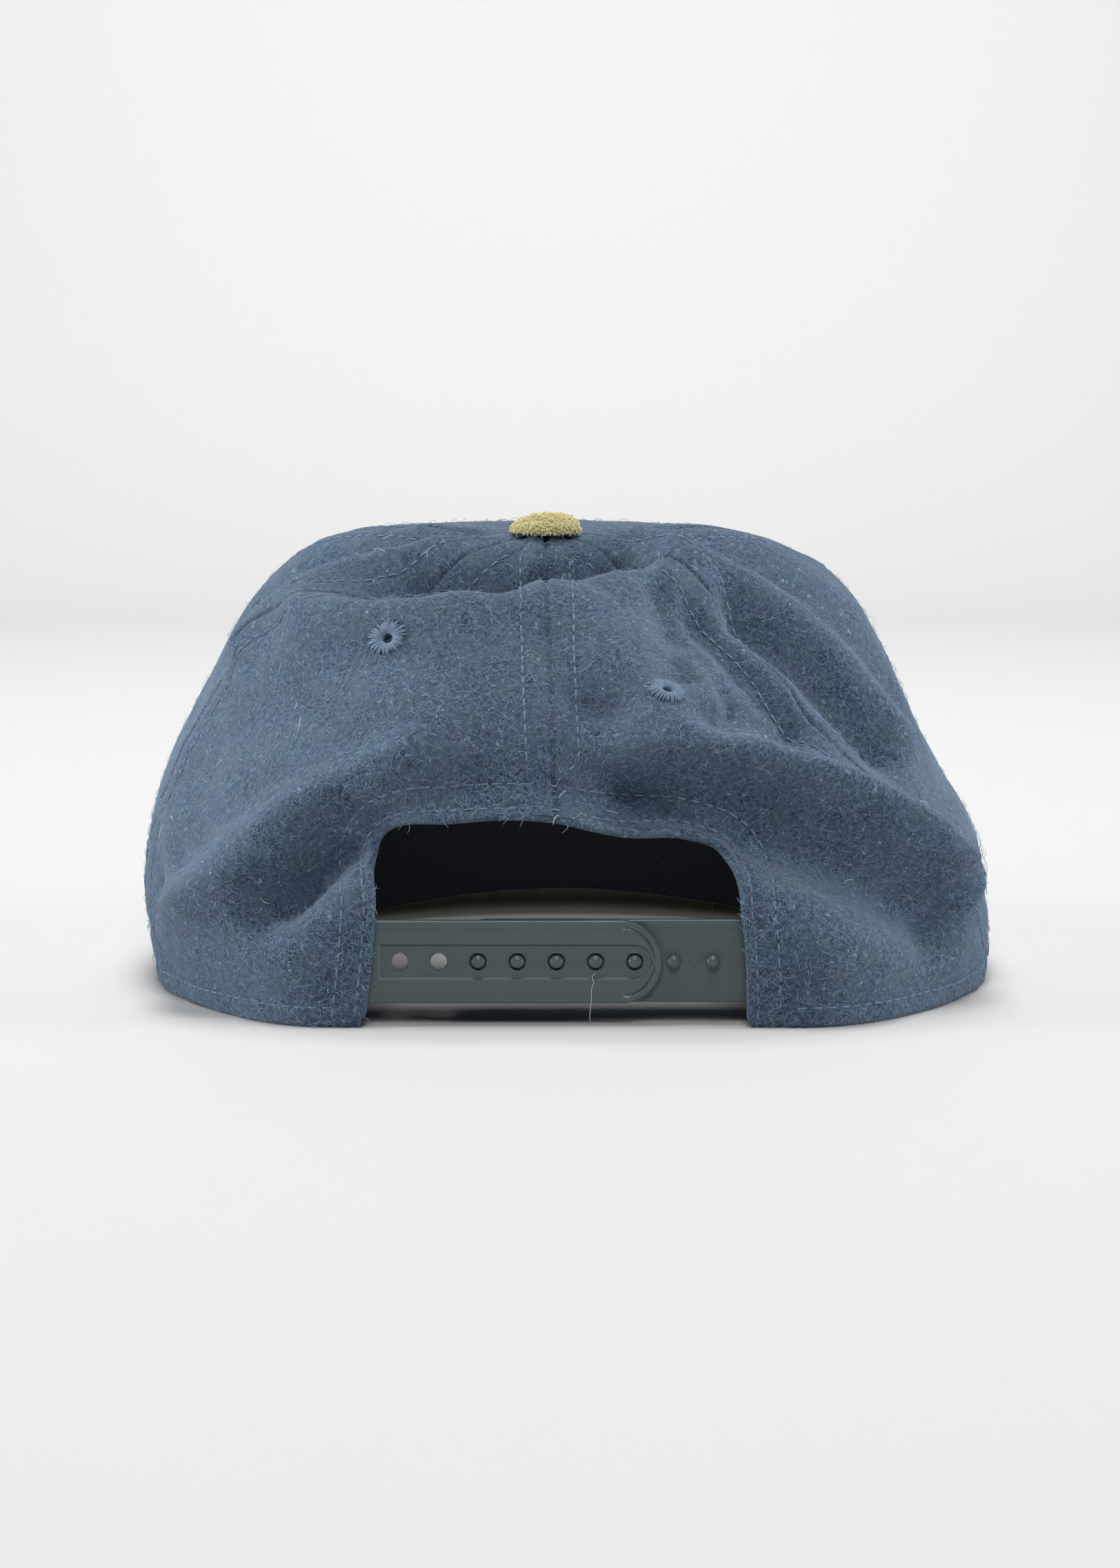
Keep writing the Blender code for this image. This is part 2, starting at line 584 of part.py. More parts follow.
def add_peg_strap(material, parts, cutters, face):
    """The inner strap, whose pegs snap into the holes, with a thick sewn end at its tail."""
    mesh = curve_plate(strap_outline(-STRAP_TAIL, FIRST_PEG + PEG_STRAP_END), STRAP_THICKNESS)
    stand_up(mesh, face - 0.5*STRAP_THICKNESS)
    strap = new_object("strap_peg_side", mesh, material, parts)
    shape = bmesh.new()
    for i in range(PEG_COUNT):
        place = Matrix.Translation((FIRST_PEG - i*SNAP_PITCH, face, STRAP_RISE))
        place = place @ Matrix.Rotation(math.radians(-90), 4, "X")
        made = bmesh.ops.create_uvsphere(shape, u_segments=HOLE_SIDES, v_segments=8, radius=1.0)
        for vert in made["verts"]:
            if vert.co.z > -TINY:
                stem = PEG_HEIGHT - PEG_DOME
                vert.co = (PEG_RADIUS*vert.co.x, PEG_RADIUS*vert.co.y, stem + PEG_DOME*vert.co.z)
            else:
                outward = vert.co.xy.normalized()*PEG_RADIUS
                vert.co = (*outward, -0.5*STRAP_THICKNESS)
        bmesh.ops.transform(shape, matrix=place, verts=made["verts"])
    bmesh.ops.remove_doubles(shape, verts=shape.verts[:], dist=1e-6)
    bmesh.ops.dissolve_degenerate(shape, edges=shape.edges[:], dist=1e-6)
    boolean(strap, cutter("pegs", mesh_from(shape), cutters), "UNION")
    tail = bmesh.new()
    bmesh.ops.create_cube(tail, size=1.0)
    inner_end = ARCH_HALF_WIDTH + 2*STRAP_GAP
    width = STRAP_TAIL - inner_end
    depth = STRAP_THICKNESS + STRAP_GAP + STRAP_JOIN
    size = Matrix.Diagonal((width, depth, STRAP_HEIGHT, 1.0))
    place = Matrix.Translation((-inner_end - 0.5*width, face - STRAP_JOIN + 0.5*depth, STRAP_RISE))
    tail.transform(place @ size)
    boolean(strap, cutter("tail_pad", mesh_from(tail), cutters), "UNION")


def add_visor(material, parts):
    """The flat visor: a slab that meets the outside of the front hem and runs forward to a
    rounded edge, a little arched from side to side, with its two corners drawn in."""
    corner = one_crown_point(180 - VISOR_ARC, 0.0)
    half_width = corner[0] + VISOR_OVERHANG
    deep = CROWN_FRONT + VISOR_REACH + corner[1] - VISOR_CORNER

    def place(across, forward, depth):
        turn = 2*across - 1
        azimuth = 180 + VISOR_ARC*turn
        azimuth = np.where(azimuth > 180, azimuth - 360, azimuth)
        hem = crown_surface(azimuth, np.zeros_like(azimuth))
        level = level_at_rise(depth*VISOR_THICKNESS)
        root = crown_point(azimuth, level, np.full_like(azimuth, -VISOR_GAP))
        sweep = np.radians(90*turn)
        edge_x = -half_width*np.sign(turn)*np.abs(np.sin(sweep))**VISOR_SQUARENESS
        edge_y = corner[1] - VISOR_CORNER - deep*np.abs(np.cos(sweep))**VISOR_SQUARENESS
        edge_z = VISOR_EDGE_LIFT*np.cos(sweep)
        reach = forward*(1 - VISOR_CORNER_DRAW*np.abs(turn)**ROUND_SIDES)
        x = root[:, 0] + (edge_x - root[:, 0])*reach
        y = root[:, 1] + (edge_y - root[:, 1])*reach
        z = hem[:, 2] + (edge_z - hem[:, 2])*reach
        return np.stack([x, y, z + depth*VISOR_THICKNESS], axis=-1)
    new_object("visor", sheet(VISOR_COLUMNS, VISOR_ROWS, place), material, parts)


def centre_on_box(parts):
    """Moves the cap so that the middle of its box's foot is the origin."""
    bpy.context.view_layer.update()
    graph = bpy.context.evaluated_depsgraph_get()
    corners = []
    for part in parts.objects:
        evaluated = part.evaluated_get(graph)
        corners += [evaluated.matrix_world @ vert.co for vert in evaluated.data.vertices]
    low = [min(corner[i] for corner in corners) for i in range(3)]
    high = [max(corner[i] for corner in corners) for i in range(3)]
    stand = bpy.data.objects.new("cap", None)
    parts.objects.link(stand)
    for made in bpy.data.objects:
        if made is not stand:
            made.parent = stand
    stand.location = (-0.5*(low[0] + high[0]), -0.5*(low[1] + high[1]), 0.0)


def main():
    for old in list(bpy.data.objects):
        bpy.data.objects.remove(old)
    parts = bpy.data.collections.new("snapback_cap")
    cutters = bpy.data.collections.new("cutters")
    bpy.context.scene.collection.children.link(parts)
    bpy.context.scene.collection.children.link(cutters)
    wool = new_material("navy_wool", (0.040, 0.062, 0.085), 0.95)
    felt = new_material("mustard_felt", (0.53, 0.41, 0.14), 0.95)
    band_cloth = new_material("sweatband_twill", (0.006, 0.009, 0.014), 0.9)
    plastic = new_material("snap_plastic", (0.060, 0.080, 0.085), 0.4)
    add_panels(wool, parts, cutters)
    add_sweatband(band_cloth, parts)
    add_button(felt, parts)
    add_visor(felt, parts)
    face = strap_face()
    add_hole_strap(plastic, parts, cutters, face)
    add_peg_strap(plastic, parts, cutters, face - STRAP_THICKNESS - STRAP_GAP)
    centre_on_box(parts)


main()
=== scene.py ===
"""The finished looks of a six-panel snapback cap in heather navy wool.

The crown is worked out about its own upright axis: an azimuth in degrees, 0 at the centre back
seam, +90 on the wearer's left and 180 at the centre front, and a level from 0 at the hem to 1 at
the button. AXIS is where that axis stands in the frame.
"""

import math
import random

import bmesh
import bpy
import numpy as np
from mathutils import Matrix, Vector


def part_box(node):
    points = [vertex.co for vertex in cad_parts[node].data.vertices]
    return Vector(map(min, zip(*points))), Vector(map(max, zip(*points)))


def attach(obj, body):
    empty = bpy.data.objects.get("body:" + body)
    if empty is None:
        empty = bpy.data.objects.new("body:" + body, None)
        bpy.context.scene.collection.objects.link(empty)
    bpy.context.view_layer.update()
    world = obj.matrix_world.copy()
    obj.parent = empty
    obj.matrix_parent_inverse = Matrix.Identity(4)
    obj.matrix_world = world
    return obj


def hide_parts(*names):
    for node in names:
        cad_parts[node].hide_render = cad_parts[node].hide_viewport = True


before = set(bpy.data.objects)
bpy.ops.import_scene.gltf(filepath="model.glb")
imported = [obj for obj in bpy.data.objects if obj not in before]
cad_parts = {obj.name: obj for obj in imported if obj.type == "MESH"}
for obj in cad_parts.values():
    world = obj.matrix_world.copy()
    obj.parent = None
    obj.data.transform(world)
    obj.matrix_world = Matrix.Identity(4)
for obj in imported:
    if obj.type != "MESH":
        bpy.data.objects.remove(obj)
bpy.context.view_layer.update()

# Crown
CROWN_HALF_WIDTH = 0.102
CROWN_BACK = 0.083
CROWN_FRONT = 0.092
CROWN_HEIGHT = 0.106
CLOTH = 0.002
FRONT_LIFT = 0.0072
FRONT_LIFT_POWER = 5
BACK_CORNER = 0.007
REAR_START = 0.05
REAR_BLEND = 0.30
BACK_LEAN = 0.0017
BACK_LEAN_LEVEL = 0.3
TOP_HOLE_RADIUS = 0.003
TOP_SHIFT = 0.0035
FOLD_DEPTH = 0.006
FOLD_REACH = 0.012
FOLD_BLEND = 0.002
CHART_RADIUS = 0.095
CHART_TOP_RADIUS = 0.020
CHART_HEIGHT = 0.150
HEM_FADE = 0.1
TOP_FADE = 0.09
RIM_FADE = 0.08

# Arch, straps, band and visor
ARCH_HALF_WIDTH = 0.0425
ARCH_HEIGHT = 0.0462
STRAP_HEIGHT = 0.0186
STRAP_RISE = 0.0143
STRAP_THICKNESS = 0.0016
STRAP_TUCK = 0.0075
STRAP_TAIL = ARCH_HALF_WIDTH + STRAP_TUCK
SNAP_PITCH = 0.0087
HOLE_COUNT = 7
EMPTY_HOLES = 2
PEG_COUNT = 7
FIRST_HOLE = 0.0356
FIRST_PEG = FIRST_HOLE - EMPTY_HOLES*SNAP_PITCH
LAST_HOLE = FIRST_HOLE - (HOLE_COUNT - 1)*SNAP_PITCH
HOLE_RADIUS = 0.00185
HOLE_STRAP_END = 0.0061
PEG_STRAP_END = 0.0068
PEG_RADIUS = 0.0015
PEG_HEIGHT = 0.0024
PEG_DOME = 0.0009
STRAP_GAP = 0.0003
STRAP_CELL = 0.00022
CHANNEL_HEIGHT = 0.0075
CHANNEL_DEPTH = 0.0006
CHANNEL_START = 0.0044
BORDER_WIDTH = 0.0014
BORDER_GROOVE = 0.00035
BORDER_BEAD = 0.00012
HOLE_RIM = 0.0023
RIM_RISE = 0.00014
MARK_RADIUS = 0.0009
STRAP_ROUNDING = 0.00028
BORDER_SOFT = 0.0003
GROOVE_AWAY = 0.0002
GROOVE_WIDTH = 0.00018
CHANNEL_SOFT = 0.0002
RIM_SOFT = 0.00025
PAD_SOFT = 0.0003
BAND_HEIGHT = 0.032
BAND_THICKNESS = 0.0014
BAND_CLEARANCE = 0.0012
BAND_LEAN = 0.0024
BAND_END_GAP = 0.0045
BAND_FOOT = 0.0006
BUTTON_RADIUS = 0.0081
BUTTON_HEIGHT = 0.0048
BUTTON_SIDE = 0.0011
BUTTON_CLEARANCE = 0.0009
BUTTON_ROUND = 2.3
BUTTON_SKEW = 0.0010
BUTTON_TILT = 3.0
VISOR_REACH = 0.070
VISOR_OVERHANG = 0.0085
VISOR_THICKNESS = 0.0036
VISOR_ARC = 55.0
VISOR_EDGE_LIFT = 0.0030
VISOR_CORNER = 0.008
VISOR_CORNER_DRAW = 0.7
VISOR_SQUARENESS = 0.9
VISOR_GAP = 0.0004
VISOR_SPAN = 0.2

# Sewing. HEM_STRETCH is what a level is worth near the hem, in shares of CROWN_HEIGHT, and
# STITCH_LIFTS how high a stitch lies at each of STITCH_SPOTS, in radii of the thread.
BACK_SEAM_DIP = 0.0010
SEAM_DIP = 0.0006
SEAM_DIP_WIDTH = 0.00055
SEAM_ROW = 0.0059
ALLOWANCE_RISE = 0.00030
ALLOWANCE_PAST = 0.0012
ALLOWANCE_EDGE = 0.0015
ROW_DIP = 0.00032
ROW_DIP_WIDTH = 0.0008
ARCH_ROWS = (0.0025, 0.0075)
HEM_ROW = 0.0045
HEM_STRETCH = 1.36
STITCH_LENGTH = 0.0024
STITCH_GAP = 0.0008
STITCH_SPOTS = (0.0, 0.12, 0.5, 0.88, 1.0)
STITCH_LIFTS = (-1.6, 0.1, 0.7, 0.1, -1.6)
THREAD_RADIUS = 0.00024
BACK_ROW_START = 0.46
SEAM_ROW_END = 0.955
EYELET_RADIUS = 0.0047
EYELET_HOLE_RADIUS = 0.0013
EYELET_STITCHES = 44
EYELET_THREAD = 0.0005
EYELET_DEPTHS = (0.0009, -0.0001, -0.00055, -0.00035, 0.0003)
PUCKER_RISE = 0.00045
PUCKER_SIZE = 0.0042
PUCKER_LEVEL = 0.13
PUCKER_FEET = (72.0, -76.0)
PUCKER_SPREAD = 7.0

# The wool's unevenness: how many waves make it up, how long they are and how high
RIPPLE_WAVES = 14
RIPPLE_SIZES = (0.008, 0.026)
RIPPLE_RISE = 0.00007

# Fuzz: how many hairs a piece of it has and how thick one is. Short and long hairs each have a
# range of lengths and one of rises. HAIR_RISES is how high a hair stands at each of HAIR_SHARES
# of its length, in shares of its rise.
FUZZ_HAIRS = 5400
HAIR_THICKNESS = 0.00009
SHORT_HAIRS = ((0.0010, 0.0030), (0.00012, 0.00030))
LONG_HAIRS = ((0.0020, 0.0042), (0.0003, 0.0010))
FUZZ_LEVELS = (0.0, 0.98)
FUZZ_CLEARANCE = 0.0004
HAIR_SHARES = (0.0, 0.3, 0.6, 0.85, 1.0)
HAIR_RISES = (-0.3, 0.7, 1.0, 0.8, 0.5)
PILE_HAIRS = 2400
PILE_THICKNESS = 0.00016
PILE_LENGTHS = (0.0006, 0.0013)
PILE_RISES = (0.0001, 0.00035)

# Stray fibres caught on the wool: how many, between which azimuths and levels, their lengths and
# their rises. The points of the fibre in a snap hole are across and up from the hole's middle.
STRAYS = (
    (16, (-75, 75), (0.05, 0.95), (0.0025, 0.0060), (0.0003, 0.0008)),
    (26, (-75, 75), (0.05, 0.95), (0.0005, 0.0011), (0.0002, 0.0004)),
)
HANGING_FIBRE = ((0.0, -0.0024), (0.0008, -0.0032), (0.0004, -0.0046), (0.0009, -0.0060),
                 (0.0010, -0.0090), (0.0013, -0.0120), (0.0012, -0.0138))
HANGING_HOLE = 5
STRAY_THICKNESS = 0.00013

# Fineness of the meshes
CELL = 0.0011
BAND_CELL = 0.002
VISOR_CELL = 0.0015
EDGE_STEPS = (0.00025, 0.0005, 0.0008, 0.0012, 0.0018)

# The frame's own places
AXIS = Vector((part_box("strap_hole_side")[1][0] - STRAP_TAIL,
               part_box("visor")[0][1] + CROWN_FRONT + VISOR_REACH, 0.0))
STRAP_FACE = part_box("strap_hole_side")[1][1] - AXIS.y

# The camera, at the photograph's angle: straight behind the cap and a little above it
CAMERA_DISTANCE = 0.950
CAMERA_HEIGHT = 0.150
CAMERA_PITCH = 6.3
CAMERA_LENS = 91.0

# The studio: how far its paper reaches in front, behind, aside and up, the radius of its sweep
# and what little light comes from all round
FLOOR_FRONT = 2.2
FLOOR_BACK = -1.2
FLOOR_SIDE = 3.0
FLOOR_TOP = 3.0
FLOOR_DROP = 0.0002
SWEEP_RADIUS = 0.7

SKY_COLOUR = "f4f6f8"
SKY_STRENGTH = 0.04

# The studio's lights: name, place, aim, size across and power. The two fills stand inside the
# crown, clear of the cloth.
LIGHTS = (
    ("overhead", (0.0, 0.15, 1.6), (0.0, 0.03, 0.05), 0.7, 15.0),
    ("front_top", (0.0, 1.30, 1.10), (0.0, 0.0, 0.05), 0.6, 13.0),
    ("side_left", (1.4, 0.15, 0.15), (0.0, 0.0, 0.05), 0.5, 22.0),
    ("side_right", (-1.4, 0.15, 0.15), (0.0, 0.0, 0.05), 0.5, 18.0),
    ("inside_fill", (0.0, 0.02, 0.08), (0.0, -0.05, 0.0), 0.04, 0.024),
    ("low_fill", (0.0, 0.03, 0.034), (0.0, -0.12, 0.0), 0.02, 0.018),
    ("backdrop", (0.0, -0.6, 1.8), (0.0, -1.9, 0.6), 1.2, 34.0),
)

# The crown's sections, one row a level. Left and right are shares of CROWN_HALF_WIDTH, and so are
# rear_left and rear_right, which hold behind the side seams. Back is a share of CROWN_BACK, front
# of CROWN_FRONT and the four rises of CROWN_HEIGHT. The two corners are the powers that square
# the outline: 2 is an ellipse.
SECTION_COLUMNS = ("level", "left", "right", "rear_left", "rear_right", "back", "front",
                   "rear_corner", "front_corner", "rise_back", "rise_left", "rise_right",
                   "rise_front")
SECTIONS = (
    (0.00, 0.945, 1.000, 0.945, 1.000, 1.265, 1.00, 2.00, 2.05, 0.000, 0.000, 0.000, 0.000),
    (0.12, 0.970, 1.012, 0.970, 1.012, 1.250, 1.00, 2.00, 2.10, 0.160, 0.170, 0.170, 0.185),
    (0.25, 0.955, 0.978, 0.955, 0.975, 1.140, 0.99, 2.00, 2.30, 0.320, 0.330, 0.330, 0.380),
    (0.37, 0.898, 0.882, 0.895, 0.870, 1.030, 0.97, 2.00, 2.50, 0.460, 0.480, 0.470, 0.570),
    (0.50, 0.795, 0.805, 0.785, 0.750, 0.930, 0.92, 2.05, 2.60, 0.600, 0.640, 0.620, 0.748),
    (0.63, 0.695, 0.715, 0.670, 0.620, 0.790, 0.80, 2.10, 2.50, 0.730, 0.787, 0.773, 0.895),
    (0.76, 0.555, 0.548, 0.515, 0.450, 0.580, 0.60, 2.10, 2.30, 0.835, 0.900, 0.885, 0.976),
    (0.88, 0.315, 0.300, 0.290, 0.260, 0.330, 0.34, 2.05, 2.10, 0.898, 0.966, 0.957, 1.008),
    (0.94, 0.165, 0.165, 0.160, 0.155, 0.170, 0.17, 2.00, 2.00, 0.952, 0.984, 0.980, 0.998),
    (1.00, 0.000, 0.000, 0.000, 0.000, 0.000, 0.00, 2.00, 2.00, 0.988, 0.988, 0.988, 0.988),
)

# The seams between the panels, as azimuths at each level
SEAM_COLUMNS = ("level", "rear_left", "front_left", "rear_right")
SEAMS = (
    (0.00, 80, 128, -81),
    (0.12, 80, 127, -78),
    (0.25, 80, 125, -68),
    (0.37, 80, 124, -57),
    (0.50, 80, 123, -50),
    (0.63, 77, 122, -50),
    (0.76, 60, 121, -53),
    (0.88, 55, 120, -58),
    (1.00, 58, 120, -60),
)

# The folds, one row each. A ridge or hollow bends from its start past its middle to its end,
# each an azimuth and a level. Height is a share of FOLD_DEPTH, with hollows below 0, and the
# half widths above and below its line are shares of FOLD_REACH.
FOLD_COLUMNS = ("name", "azimuth_0", "level_0", "azimuth_1", "level_1", "azimuth_2", "level_2",
                "height", "above", "below")
FOLDS = (
    ("brow left",           60, 0.69,   35, 0.71,    2, 0.81,  0.65, 0.5, 0.70),
    ("brow right",           0, 0.81,  -25, 0.86,  -66, 0.86,  0.45, 0.5, 0.70),
    ("dip left of button",  54, 0.79,   47, 0.84,   24, 0.92, -0.90, 0.6, 0.50),
    ("dip right of button",-10, 0.93,  -42, 0.93,  -66, 0.91, -0.50, 0.5, 0.50),
    ("left ridge",          22, 0.52,   29, 0.42,   60, 0.18,  1.00, 0.9, 0.60),
    ("left valley",         29, 0.34,   34, 0.28,   40, 0.21, -1.20, 0.5, 0.60),
    ("right ridge top",     -3, 0.76,  -10, 0.60,  -20, 0.53,  0.35, 0.8, 0.60),
    ("right ridge",        -17, 0.54,  -43, 0.42,  -66, 0.18,  1.20, 0.7, 0.60),
    ("right valley",       -12, 0.38,  -33, 0.35,  -57, 0.13, -1.30, 0.5, 0.90),
    ("rear hollow",         24, 0.41,    6, 0.42,  -12, 0.42, -0.50, 1.2, 0.80),
    ("right bulge",        -36, 0.13,  -46, 0.10,  -60, 0.07,  0.45, 1.0, 1.00),
    ("streak inner",       -36, 0.80,  -28, 0.70,  -24, 0.63, -0.40, 0.4, 0.40),
    ("streak middle",      -43, 0.74,  -38, 0.60,  -41, 0.47, -0.65, 0.4, 0.40),
    ("streak outer",       -55, 0.72,  -54, 0.59,  -66, 0.42, -0.90, 0.4, 0.40),
    ("right crest",        -76, 0.90,  -64, 0.68,  -72, 0.44,  0.90, 0.7, 0.50),
    ("right side hollow", -100, 0.90,  -84, 0.72,  -88, 0.48, -1.30, 0.6, 0.50),
    ("left crest",          82, 0.62,   74, 0.75,   76, 0.90,  0.70, 0.5, 0.50),
    ("left side hollow",    96, 0.92,   90, 0.78,   94, 0.60, -1.30, 0.5, 0.50),
)

# Creases that only the soft cloth has, in the folds' own columns: they sharpen the crests and
# deepen the hollows of the solid crown
CREASES = (
    ("under button left",     52, 0.840,   28, 0.880,    2, 0.910, -1.40, 0.40, 0.50),
    ("under button right",     0, 0.910,  -22, 0.925,  -50, 0.910, -1.20, 0.40, 0.45),
    ("brow crest left",       62, 0.690,   38, 0.710,   19, 0.755,  0.30, 0.40, 0.60),
    ("brow crest right",     -14, 0.820,  -20, 0.840,  -32, 0.860,  0.30, 0.40, 0.60),
    ("brow at the seam",      10, 0.800,    0, 0.815,  -10, 0.820, -0.30, 0.50, 0.60),
    ("ridge start",          -12, 0.560,  -19, 0.540,  -28, 0.510, -0.80, 0.70, 0.50),
    ("ridge shoulder",       -30, 0.520,  -44, 0.440,  -66, 0.270, -0.75, 0.60, 0.40),
    ("hollow by the seam",    -3, 0.700,   -6, 0.580,  -12, 0.500, -0.45, 0.50, 0.50),
    ("right flank",          -13, 0.475,  -36, 0.450,  -62, 0.225,  0.85, 0.60, 0.32),
    ("right valley floor",   -12, 0.420,  -36, 0.380,  -61, 0.165, -0.95, 0.32, 0.60),
    ("right hip",            -58, 0.210,  -68, 0.170,  -82, 0.140, -0.35, 0.80, 0.80),
    ("left ridge top",        24, 0.520,   34, 0.440,   62, 0.240, -0.50, 0.60, 0.50),
    ("left ridge tail",       46, 0.280,   55, 0.230,   68, 0.170, -0.50, 0.70, 0.50),
    ("left flank",            21, 0.460,   28, 0.370,   54, 0.170,  0.65, 0.60, 0.40),
    ("left leg hollow",       33, 0.300,   37, 0.250,   42, 0.160, -0.80, 0.30, 0.40),
    ("left foot swell",       44, 0.200,   50, 0.170,   58, 0.130,  0.45, 0.50, 0.90),
    ("streak inner",         -38, 0.820,  -30, 0.720,  -27, 0.620, -0.45, 0.25, 0.25),
    ("streak between",       -36, 0.740,  -34, 0.640,  -34, 0.550, -0.45, 0.22, 0.22),
    ("streak middle",        -44, 0.780,  -41, 0.640,  -46, 0.500, -0.60, 0.25, 0.25),
    ("streak outer",         -58, 0.760,  -57, 0.620,  -66, 0.440, -0.70, 0.25, 0.25),
    ("left side hollow",      48, 0.580,   58, 0.500,   68, 0.360, -0.45, 0.90, 0.90),
)

# The arch over the straps, from the foot of the left leg round to the foot of the right one.
# The columns are across, a share of ARCH_HALF_WIDTH, and rise, one of ARCH_HEIGHT.
ARCH = (
    (1.03, -0.10),
    (0.96, 0.60),
    (0.97, 0.84),
    (0.88, 0.94),
    (0.55, 0.99),
    (0.10, 1.00),
    (-0.32, 0.925),
    (-0.68, 0.895),
    (-0.88, 0.80),
    (-0.945, 0.52),
    (-0.98, -0.10),
)

# Where the two eyelets are: azimuth and level
EYELETS = {"rear_panel_left": (33.5, 0.67), "rear_panel_right": (-20.5, 0.58)}

# Above this level the rear panels are clear of the arch
ARCH_TOP_LEVEL = 0.6

# Where the panels are about widest
WIDE_LEVEL = 0.12

# Less than this is nothing, in a share or in metres
TINY = 1e-7


def smooth(share):
    """A soft step from 0 to 1."""
    share = np.clip(share, 0.0, 1.0)
    return share*share*(3.0 - 2.0*share)


def table_value(table, columns, column, level):
    """A column of a table of levels, read along a smooth curve through its rows."""
    rows = np.array([row[0] for row in table], dtype=float)
    values = np.array([row[columns.index(column)] for row in table], dtype=float)
    slopes = np.gradient(values, rows)
    low = np.clip(np.searchsorted(rows, level, side="right") - 1, 0, len(rows) - 2)
    step = rows[low + 1] - rows[low]
    s = (level - rows[low])/step
    return ((2*s**3 - 3*s**2 + 1)*values[low] + (3*s**2 - 2*s**3)*values[low + 1]
            + (s**3 - 2*s**2 + s)*step*slopes[low] + (s**3 - s**2)*step*slopes[low + 1])


def section(column, level):
    return table_value(SECTIONS, SECTION_COLUMNS, column, level)


def seam(name, level):
    """The azimuth of a seam at a level."""
    fixed = {"back": 0.0, "front_from_left": 180.0, "front_from_right": -180.0}
    if name in fixed:
        return np.full_like(level, fixed[name])
    if name == "front_right":
        return -table_value(SEAMS, SEAM_COLUMNS, "front_left", level)
    return table_value(SEAMS, SEAM_COLUMNS, name, level)


def soft_least(a, b, softness):
    """The lesser of two lengths, rounded over where they meet."""
    share = np.clip(0.5 + 0.5*(b - a)/softness, 0.0, 1.0)
    return b*(1 - share) + a*share - softness*share*(1 - share)


def smooth_crown(azimuth, level):
    """The crown's outer surface without its folds. Its rear widths take over from the front ones
    where the azimuth's cosine passes from REAR_START to REAR_START + REAR_BLEND."""
    turn = np.radians(azimuth)
    s, c = np.sin(turn), np.cos(turn)
    half = CROWN_HALF_WIDTH*np.where(s > 0, section("left", level), section("right", level))
    back = CROWN_BACK*section("back", level)
    front = CROWN_FRONT*section("front", level)
    rear_half = CROWN_HALF_WIDTH*np.where(s > 0, section("rear_left", level),
                                          section("rear_right", level))
    half = half + (rear_half - half)*smooth((c - REAR_START)/REAR_BLEND)
    half = np.maximum(half, TINY)
    reach = np.maximum(np.where(c > 0, back, front), TINY)
    power = np.where(c > 0, section("rear_corner", level), section("front_corner", level))
    radius = (np.abs(s/half)**power + np.abs(c/reach)**power)**(-1.0/power)
    radius = radius + TOP_HOLE_RADIUS*smooth(level)
    x, y = radius*s, radius*c
    wall = CROWN_BACK + BACK_LEAN*np.clip(level/BACK_LEAN_LEVEL, 0.0, 1.0)
    y = np.where(c > 0, soft_least(y, wall, BACK_CORNER), y)
    side = section("rise_right", level)
    side = side + (section("rise_left", level) - side)*smooth(0.5 + 1.5*s)
    rear = np.clip(c, 0.0, 1.0)**1.5
    fore = smooth((0.15 - c)/0.75)
    rise = side + (section("rise_back", level) - side)*rear
    rise = rise + (section("rise_front", level) - side)*fore
    z = CROWN_HEIGHT*rise + FRONT_LIFT*np.clip(-c, 0.0, 1.0)**FRONT_LIFT_POWER*(1 - level)**2
    return np.stack([x + TOP_SHIFT*smooth(level), y, z], axis=-1)


def chart(azimuth, level):
    """The crown laid flat, in metres, to measure distances from a fold."""
    radius = CHART_TOP_RADIUS + (CHART_RADIUS - CHART_TOP_RADIUS)*(1 - level)
    return np.stack([np.radians(azimuth)*radius, level*CHART_HEIGHT], axis=-1)


def off_line(here, line):
    """How far points lie from a line of points, and how far to the left of it."""
    nearest = np.full(here.shape[:-1], 1.0)
    left = np.zeros_like(nearest)
    for a, b in zip(line[:-1], line[1:]):
        step = b - a
        share = np.clip((here - a) @ step/(step @ step), 0.0, 1.0)
        away = here - a - share[..., None]*step
        distance = np.hypot(away[..., 0], away[..., 1])
        turned = (step[0]*away[..., 1] - step[1]*away[..., 0])/np.hypot(*step)
        closer = distance < nearest
        nearest = np.where(closer, distance, nearest)
        left = np.where(closer, turned, left)
    return nearest, left


def fold_height(azimuth, level, row):
    """How far one fold lifts the cloth."""
    fold = dict(zip(FOLD_COLUMNS, row))
    start, bend, end = (chart(float(fold[f"azimuth_{i}"]), fold[f"level_{i}"]) for i in range(3))
    along = np.linspace(0.0, 1.0, 9)[:, None]
    line = (1 - along)**2*start + 2*along*(1 - along)*bend + along**2*end
    nearest, left = off_line(chart(azimuth, level), line)
    lean = np.sign(end[0] - start[0])*left/(nearest + FOLD_BLEND)
    width = 0.5*FOLD_REACH*(fold["above"] + fold["below"] + (fold["above"] - fold["below"])*lean)
    return FOLD_DEPTH*fold["height"]*np.exp(-(nearest/width)**2)


def surface_normal(surface, azimuth, level):
    """The outward normal of a surface of azimuth and level, from close neighbours."""
    around = surface(azimuth + 0.5, level) - surface(azimuth - 0.5, level)
    above, below = np.minimum(level + 0.005, 1.0), np.maximum(level - 0.005, 0.0)
    up = surface(azimuth, above) - surface(azimuth, below)
    normal = np.cross(up, around)
    return normal/np.linalg.norm(normal, axis=-1, keepdims=True)


def crown_surface(azimuth, level):
    """The crown's outer surface, folds and all."""
    folds = sum(fold_height(azimuth, level, row) for row in FOLDS + CREASES)
    folds = folds*smooth(level/HEM_FADE)*smooth((1 - level)/TOP_FADE)
    normal = surface_normal(smooth_crown, azimuth, level)
    return smooth_crown(azimuth, level) + normal*folds[..., None]


